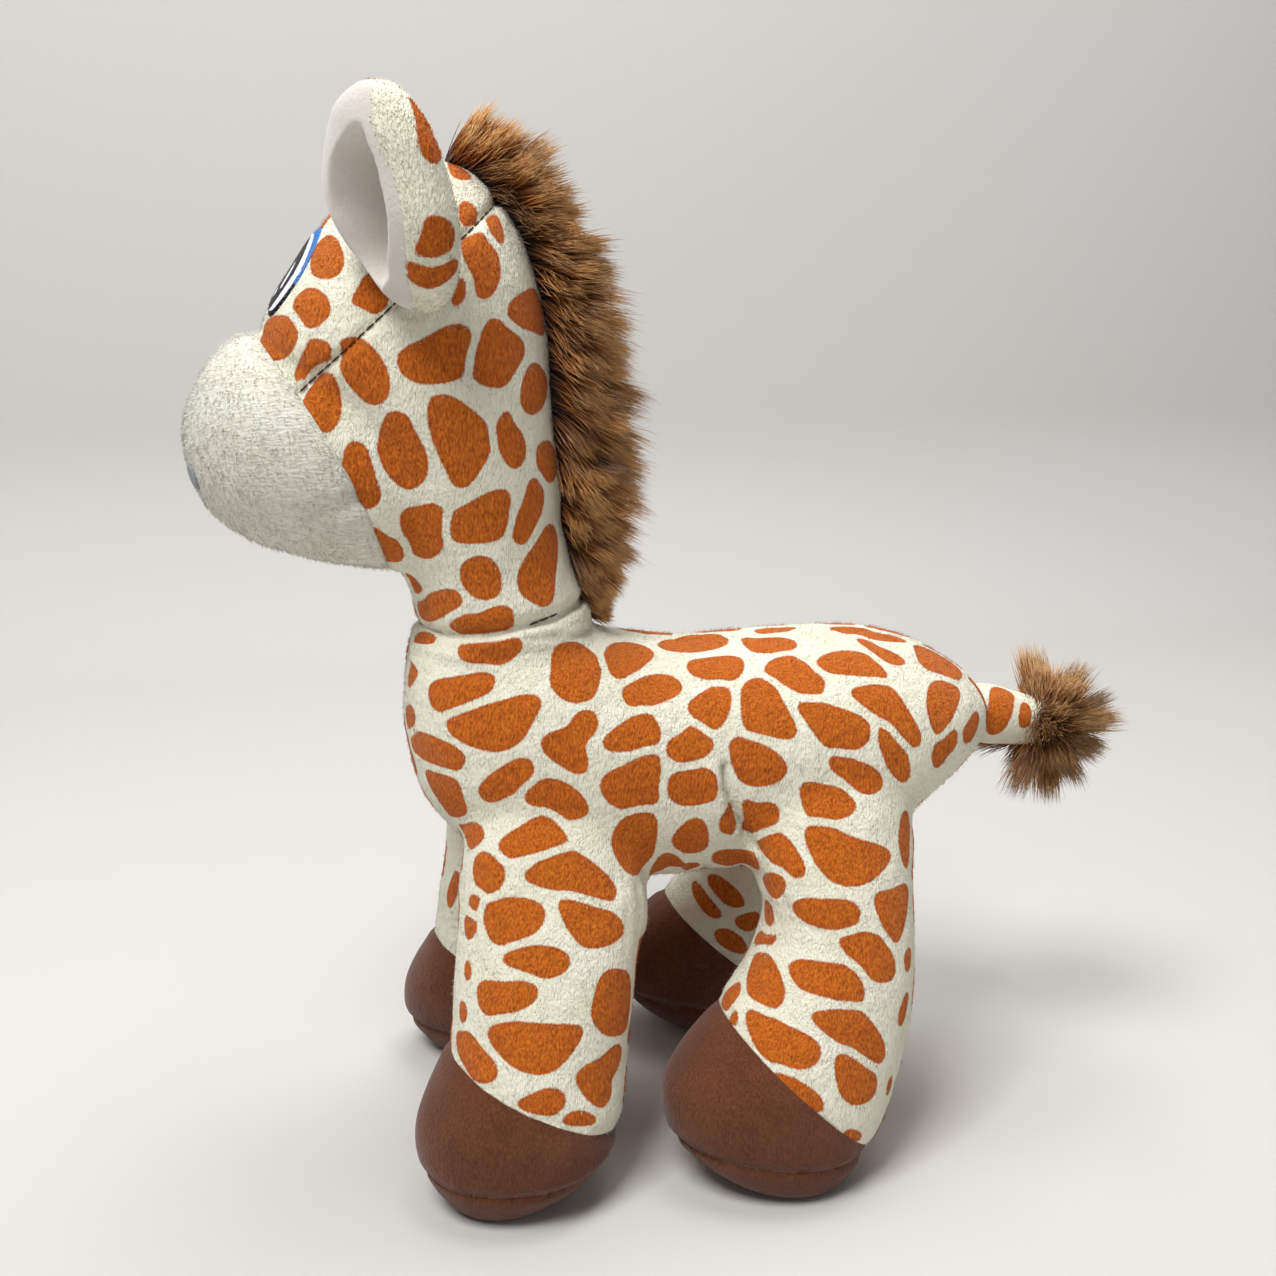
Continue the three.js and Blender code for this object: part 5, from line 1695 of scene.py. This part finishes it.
class GIRAFFE_OT_ears(bpy.types.Operator):
    """Sew the two ears: smooth lining inside, printed plush behind"""

    bl_idname = "giraffe.ears"
    bl_label = "Ears"

    def execute(self, context):
        cloths = {
            "lining": ("white_plush", napped_plush("white_smooth_plush")),
            "back": ("printed_plush", bpy.data.materials["printed_velour_plush"]),
        }
        for side in (LEFT, RIGHT):
            for part, (slot, material) in cloths.items():
                ear = self.sewn_ear(side, part)
                smoothed(ear, 3)
                lumpy(ear, height=0.0004, wave=0.009, seed=7)
                finish_piece(ear, None, slot, material, f"ear_{part}_{SIDE_NAMES[side]}")
        return {"FINISHED"}

    @staticmethod
    def sewn_ear(side, part):
        """An ear's lining or printed back: rings along the leaf, closed by a point at each end."""
        s = sizes()
        seat, along, aside, face = ear_axes(side)
        rows = refined(EAR_SECTIONS, 8)
        points = []
        for row in rows[1:-1]:
            section = ear_section(row, part)
            middle = seat + along * row[0] * s.ear_length
            points.append(middle + np.outer(section[:, 0], aside) + np.outer(section[:, 1], face))
        for row in rows[[0, -1]]:
            points.append((seat + along * row[0] * s.ear_length + aside * row[1] * s.ear_width)[None])
        sides = len(points[0])
        last = (len(rows) - 3) * sides
        faces = []
        for i in range(sides):
            j = (i + 1) % sides
            for low in range(0, last, sides):
                high = low + sides
                faces.append((low + i, low + j, high + j, high + i))
            faces.append((last + sides, j, i))
            faces.append((last + sides + 1, last + i, last + j))
        if side == RIGHT:
            faces = [corners[::-1] for corners in faces]
        return mesh_object(f"sewn_ear_{part}_{SIDE_NAMES[side]}", np.vstack(points), faces)


class GIRAFFE_OT_eyes(bpy.types.Operator):
    """Embroider the eyes and the nostrils"""

    bl_idname = "giraffe.eyes"
    bl_label = "Eyes and nostrils"

    def execute(self, context):
        s = sizes()
        head, muzzle = sewn("head"), sewn("muzzle")
        satins = {kind: embroidery("satin_stitched_" + kind) for kind in ("eye", "nostril")}
        for side in (LEFT, RIGHT):
            for kind, covers, seat, splay, colour_of in (
                ("eye", [head, muzzle], EYE_SEAT, EYE_SPLAY, self.eye_colour),
                ("nostril", [muzzle], NOSTRIL_SEAT, NOSTRIL_SPLAY, self.nostril_colour),
            ):
                own = SIDE_NAMES[side]
                place = head_place(*seat) + side * getattr(s, kind + "_spacing") / 2 * ACROSS
                out = np.array([-math.cos(splay), side * math.sin(splay), 0.0])
                width, height = getattr(s, kind + "_width"), getattr(s, kind + "_height")
                pad = (tree_of(covers), place, out, side, width, height, colour_of)
                made = embroidered(f"{kind}_{own}_thread", *pad)
                finish_piece(made, "head", kind + "_thread", satins[kind], f"{kind}_embroidery_{own}")
        return {"FINISHED"}

    @staticmethod
    def nostril_colour(u, v):
        return np.tile(colours().nostril, (len(u), 1))

    @staticmethod
    def eye_colour(u, v):
        """Thread colours over the eye: u grows outwards from the nose, v upwards, both to 1 at its rim."""
        c = colours()
        rim = np.hypot(u, v)
        colour = np.tile(c.eye_white, (len(u), 1))
        pupil = np.hypot((u + 0.3) / 0.86, (v + 0.06) / 0.84) < 1
        bar = np.hypot((u - 0.02 + 0.15 * v) / 0.13, (v + 0.12) / 0.3) < 1
        glint = np.hypot((u + 0.3) / 0.1, (v + 0.5) / 0.1) < 1
        upper_rim = rim > 0.9 - 0.1 * np.clip(v, 0, 1)
        lower_rim = (rim > 0.9) & (v + 0.4 * u < 0.1)
        inner_rim = (rim > 0.96) & (u < 0.1)
        colour[pupil] = c.eye_black
        colour[bar | glint] = c.eye_white
        colour[upper_rim] = c.eye_blue
        colour[lower_rim | inner_rim] = c.eye_black
        return colour


class GIRAFFE_OT_mane(bpy.types.Operator):
    """Plant the mane's long pile in the seam down the nape"""

    bl_idname = "giraffe.mane"
    bl_label = "Mane"

    def execute(self, context):
        s = sizes()
        random = np.random.default_rng(23)
        pile = long_pile()
        rows = refined(MANE_SECTIONS, 12)
        path = np.array([head_place(r[0], r[1]) for r in rows])
        steps = run_along(path)
        run = unit(np.gradient(path, axis=0))
        out = np.stack([run[:, 2], run[:, 1] * 0, -run[:, 0]], 1)
        count, locks = MANE_FIBRES, MANE_LOCKS
        at = random.uniform(0, 1, count) ** MANE_CROWDING
        place = at * steps[-1]
        middle, outward, down = (between(values, steps, place) for values in (path, out, -run))
        reach, spread = between(rows[:, 2:4], steps, place).T
        fan = random.normal(0, MANE_FAN, count).clip(-MANE_FAN_LIMIT, MANE_FAN_LIMIT)
        fan *= np.sqrt(spread)
        aim = outward * np.cos(fan)[:, None] + ACROSS * np.sin(fan)[:, None]
        aside = np.sin(fan) * s.mane_thickness * MANE_ROOT_SPREAD * spread
        depth = random.uniform(*MANE_ROOT_DEPTH, count) * reach
        roots = middle + ACROSS * aside[:, None] + outward * depth[:, None]
        length = s.mane_height * reach * random.uniform(*MANE_LENGTHS, count)
        length *= 1 - MANE_SIDE_LOSS * np.abs(np.sin(fan))
        heavy = random.uniform(*MANE_WEIGHTS, count) + MANE_LOWER_WEIGHT * np.clip(1.6 - 1.6 * at, 0, 1)
        heavy += MANE_END_WEIGHT * np.clip(1 - 4 * at, 0, 1)
        droop = down * heavy[:, None] + UP * random.uniform(*MANE_LIFTS, count)[:, None]
        tips = roots + (aim + droop) * length[:, None]
        keys = np.stack([place, fan * MANE_LOCK_WIDTH, np.zeros(count)], 1)
        centres = keys[random.choice(count, locks, replace=False)]
        tips, lock = clumped(tips, keys, centres, MANE_CLUMP, random)
        tips += outward * (random.uniform(*MANE_LOCK_REACH, locks)[lock] * length)[:, None]
        tips += random.normal(0, 1, (locks, 3))[lock] * (MANE_LOCK_STRAY * length)[:, None]
        tips += random.normal(0, MANE_FIBRE_STRAY, tips.shape)
        bows = (aim - droop) * (MANE_BOW * length)[:, None]
        bows += random.normal(0, MANE_BOW_STRAY, tips.shape)
        tints = lock_tints(lock, locks, MANE_TINT, MANE_TINT_SPREAD, random)
        core = skin("mane_roots", [self.core_loft(path, out, rows)], grid=0.0012)
        lumpy(core, height=0.0008, wave=0.005, seed=9)
        smoothed(core, 2)
        set_attribute(core.data, "tint", np.full(len(core.data.vertices), MANE_ROOT_TINT))
        finish_piece(core, None, "long_pile", pile, "mane_backing")
        half, order = count // 2, np.argsort(place)
        for name, chosen in (("mane_pile_upper", order[half:]), ("mane_pile_lower", order[:half])):
            strands = (roots[chosen], tips[chosen], bows[chosen], PILE_WIDTH, tints[chosen], PILE_TAPER)
            finish_piece(fibres(name, *strands), None, "long_pile", pile, "mane_pile")
        return {"FINISHED"}

    @staticmethod
    def core_loft(path, out, rows):
        """The dense foot of the pile, along the mane's backing strip."""
        s = sizes()
        reach = MANE_FOOT_REACH * s.mane_height * rows[:, 2]
        centres = path + out * (reach / 2 - MANE_FOOT_SINK)[:, None]
        ends = np.ones(len(rows))
        ends[[0, -1]] = MANE_FOOT_END
        rise = out * ((reach / 2 + MANE_FOOT_SINK) * ends)[:, None]
        across = np.outer(MANE_FOOT_WIDTH * s.mane_thickness * rows[:, 3] * ends, ACROSS)
        return loft(centres, across, rise, sides=20)


class GIRAFFE_OT_tuft(bpy.types.Operator):
    """Plant the tuft's long pile at the end of the tail"""

    bl_idname = "giraffe.tuft"
    bl_label = "Tail tuft"

    def execute(self, context):
        s = sizes()
        random = np.random.default_rng(31)
        pile = bpy.data.materials["long_tipped_pile"]
        axis, over = tail_axes()
        count, locks = TUFT_FIBRES, TUFT_LOCKS
        middle = tail_place(TUFT_MIDDLE)
        # The locks point evenly all round but for the side of the tail, in a golden-angle spiral.
        spiral = np.arange(locks) + 0.5
        level, turn = 1 - TUFT_ROUND * spiral / locks, spiral * math.pi * (3 - math.sqrt(5))
        ring = np.sqrt(1 - level**2)
        ways = np.outer(level, axis) + np.outer(ring * np.cos(turn), over)
        ways += np.outer(ring * np.sin(turn), ACROSS)
        ways = unit(ways + random.normal(0, TUFT_LOCK_STRAY, ways.shape))
        lock = random.integers(0, locks, count)
        loose = random.uniform(0, 1, count) < TUFT_LOOSE
        stray, draw, share = (np.where(loose, LOOSE_FIBRE[key], LOCKED_FIBRE[key]) for key in LOOSE_FIBRE)
        aim = unit(ways[lock] + random.normal(0, 1, (count, 3)) * stray[:, None])
        kept = (aim @ axis) > TUFT_LEAST_AIM
        aim, lock, draw, share = aim[kept], lock[kept], draw[kept], share[kept]
        count = len(aim)
        back = random.uniform(0, TUFT_ROOT_SPREAD, count) * s.tail_length
        roots = middle + aim * TUFT_ROOT_REACH - np.outer(back, axis)
        reach = random.uniform(*TUFT_LOCK_LENGTHS, locks)[lock] * random.uniform(*TUFT_FIBRE_LENGTHS, count)
        length = s.tuft_pile * (reach * share)
        tips = roots + aim * length[:, None]
        point = roots + ways[lock] * length[:, None]
        tips += (point - tips) * draw[:, None]
        bows = random.normal(0, TUFT_BOW, tips.shape)
        tints = lock_tints(lock, locks, TUFT_TINT, TUFT_TINT_SPREAD, random)
        made = fibres("tail_pile", roots, tips, bows, PILE_WIDTH, tints, PILE_TAPER)
        finish_piece(made, "tail", "long_pile", pile, "tail_tuft")
        return {"FINISHED"}


class GIRAFFE_OT_stitches(bpy.types.Operator):
    """Stitch the seams that show their thread"""

    bl_idname = "giraffe.stitches"
    bl_label = "Stitches"

    def execute(self, context):
        head = sewn("head")
        tree = tree_of([head])
        dark = thread("dark_brown_thread", colours().seam_thread)
        start, run, _ = seam_plane(CROWN_SEAM)
        rows = []
        for side in (LEFT, RIGHT):
            hits = []
            for t in np.arange(*CROWN_THREAD):
                place, facing, _, _ = tree.ray_cast(Vector(start + run * t), Vector(side * ACROSS))
                if place is not None and before_muzzle_seam(np.array([place]))[0] > 0.0005:
                    hits.append((place, facing))
            if len(hits) > 2:
                rows.append(np.array(hits).transpose(1, 0, 2))
        made = stitches("crown_seam_stitches", rows, share=0.94)
        finish_piece(made, "head", "brown_plush", dark)
        cover = tree_of([head, sewn("body")])
        sights = [cover.ray_cast(Vector(CAMERA_PLACE), sight_line(*pixel))[0] for pixel in NECK_THREAD]
        rows = []
        for side in (LEFT, RIGHT):
            rows.append(on_cover(cover, [at * Vector((1, -side, 1)) for at in sights], lift=0.0002))
        made = stitches("neck_seam_stitches", rows, share=0.96)
        finish_piece(made, None, "brown_plush", dark)
        return {"FINISHED"}


class GIRAFFE_OT_print(bpy.types.Operator):
    """Lay the giraffe print over the covers"""

    bl_idname = "giraffe.print"
    bl_label = "Giraffe print"

    def execute(self, context):
        printed = ("body", "head", "tail", "ear_back_left", "ear_back_right")
        others = ("muzzle", "ear_lining_left", "ear_lining_right")
        print_patches([sewn(name) for name in printed], [sewn(name) for name in others])
        return {"FINISHED"}


class GIRAFFE_OT_nap(bpy.types.Operator):
    """Raise the short nap on the covers"""

    bl_idname = "giraffe.nap"
    bl_label = "Nap"

    def execute(self, context):
        random = np.random.default_rng(5)
        for name, count, length, body, slot in (
            ("body", 48000, 0.0015, "body", "printed_plush"),
            ("head", 26000, 0.0015, None, "printed_plush"),
            ("muzzle", 16000, 0.0019, "head", "cream_plush"),
            ("ear_back_left", 5000, 0.0015, None, "printed_plush"),
            ("ear_back_right", 5000, 0.0015, None, "printed_plush"),
        ):
            cover = sewn(name)
            made = nap(name + "_nap", cover, count, length, random)
            finish_piece(made, body, slot, cover.data.materials[0])
        return {"FINISHED"}


class GIRAFFE_OT_bends(bpy.types.Operator):
    """Let the covers bend across the joints"""

    bl_idname = "giraffe.bends"
    bl_label = "Bending covers"

    def execute(self, context):
        neck = neck_seat()
        mane = ("mane_roots", "mane_pile_upper", "mane_pile_lower")
        for name in ("sewn_head", "head_nap", "neck_seam_stitches", *mane):
            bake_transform(bpy.data.objects[name], "body", "head", start=neck - UP * 0.016, end=neck + UP * 0.012)
        for side in (LEFT, RIGHT):
            seat, along, _, _ = ear_axes(side)
            for name in ("sewn_ear_lining_{}", "sewn_ear_back_{}", "ear_back_{}_nap"):
                ear = bpy.data.objects[name.format(SIDE_NAMES[side])]
                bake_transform(ear, "head", "ear_" + SIDE_NAMES[side], start=seat, end=seat + along * 0.012)
        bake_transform(sewn("tail"), "body", "tail", start=tail_place(-0.1), end=tail_place(0.4))
        return {"FINISHED"}


class GIRAFFE_OT_stage(bpy.types.Operator):
    """Set up the camera, the lamps and the plain floor"""

    bl_idname = "giraffe.stage"
    bl_label = "Camera, lamps and floor"

    def execute(self, context):
        scene = context.scene
        lens = bpy.data.cameras.new("camera")
        lens.lens = PHOTO_FOCUS * SENSOR / PHOTO_SIDE
        lens.sensor_width = SENSOR
        camera = bpy.data.objects.new("camera", lens)
        right, up, ahead = camera_axes()
        turn = Matrix((right, up, -ahead)).transposed().to_4x4()
        camera.matrix_world = Matrix.Translation(CAMERA_PLACE) @ turn
        scene.collection.objects.link(camera)
        scene.camera = camera
        for name, place, power, width in LAMPS:
            lamp = bpy.data.lights.new(name, "AREA")
            lamp.energy, lamp.size = power, width
            holder = bpy.data.objects.new(name, lamp)
            holder.location = place
            holder.rotation_euler = (LAMP_AIM - Vector(place)).to_track_quat("-Z", "Y").to_euler()
            scene.collection.objects.link(holder)
        world = bpy.data.worlds.new("room")
        world.use_nodes = True
        tree = world.node_tree
        room = tree.nodes["Background"]
        # The room looks as pale as the floor but lights the toy less, and cooler.
        shown = add_node(tree, "ShaderNodeLightPath").outputs["Is Camera Ray"]
        tree.links.new(mixed(tree, shown, opaque(ROOM_LIGHT), opaque(ROOM_SEEN)), room.inputs["Color"])
        level = ranged(tree, shown, 0.0, 1.0, ROOM_LIGHT_LEVEL, ROOM_SEEN_LEVEL)
        tree.links.new(level, room.inputs["Strength"])
        scene.world = world
        scene.view_settings.view_transform = "Standard"
        floor = self.backdrop()
        material = bpy.data.materials.new("painted_backdrop")
        material.use_nodes = True
        shader = material.node_tree.nodes["Principled BSDF"]
        shader.inputs["Base Color"].default_value = opaque(colours().floor)
        shader.inputs["Roughness"].default_value = 0.95
        floor.data.materials.append(material)
        return {"FINISHED"}

    @staticmethod
    def backdrop():
        """A floor that curves up into a wall behind the toy."""
        width, near, far, bend, height = 0.95, -0.95, 0.55, 0.12, 2.2
        profile = [(near, 0.0), (far - bend, 0.0)]
        for t in np.linspace(0.1, np.pi / 2, 12):
            profile.append((far - bend + bend * math.sin(t), bend - bend * math.cos(t)))
        profile.append((far, height))
        points = [(x, y, z) for y, z in profile for x in (-width, width)]
        faces = [(2 * i, 2 * i + 1, 2 * i + 3, 2 * i + 2) for i in range(len(profile) - 1)]
        return mesh_object("backdrop", points, faces)


class GIRAFFE_PT_panel(bpy.types.Panel):
    """Lists the giraffe's pieces"""

    bl_idname = "GIRAFFE_PT_panel"
    bl_label = "Plush giraffe"
    bl_space_type = "VIEW_3D"
    bl_region_type = "UI"
    bl_category = "Plush giraffe"

    def draw(self, context):
        for operator in OPERATORS:
            self.layout.operator(operator.bl_idname)
        for group in (sizes(), colours()):
            for name in group.__annotations__:
                self.layout.prop(group, name, text=name.replace("_", " ").capitalize())


OPERATORS = (
    GIRAFFE_OT_body,
    GIRAFFE_OT_head,
    GIRAFFE_OT_tail,
    GIRAFFE_OT_ears,
    GIRAFFE_OT_eyes,
    GIRAFFE_OT_mane,
    GIRAFFE_OT_tuft,
    GIRAFFE_OT_stitches,
    GIRAFFE_OT_print,
    GIRAFFE_OT_nap,
    GIRAFFE_OT_bends,
    GIRAFFE_OT_stage,
)
CLASSES = (GiraffeSizes, GiraffeColours, *OPERATORS, GIRAFFE_PT_panel)


def register():
    for cls in CLASSES:
        bpy.utils.register_class(cls)
    bpy.types.Scene.giraffe_sizes = bpy.props.PointerProperty(type=GiraffeSizes)
    bpy.types.Scene.giraffe_colours = bpy.props.PointerProperty(type=GiraffeColours)


def unregister():
    del bpy.types.Scene.giraffe_colours
    del bpy.types.Scene.giraffe_sizes
    for cls in reversed(CLASSES):
        bpy.utils.unregister_class(cls)


def main():
    register()
    bpy.ops.giraffe.body()
    bpy.ops.giraffe.head()
    bpy.ops.giraffe.tail()
    bpy.ops.giraffe.ears()
    bpy.ops.giraffe.eyes()
    bpy.ops.giraffe.mane()
    bpy.ops.giraffe.tuft()
    bpy.ops.giraffe.stitches()
    bpy.ops.giraffe.print()
    bpy.ops.giraffe.nap()
    bpy.ops.giraffe.bends()
    bpy.ops.giraffe.stage()


if __name__ == "__main__":
    main()
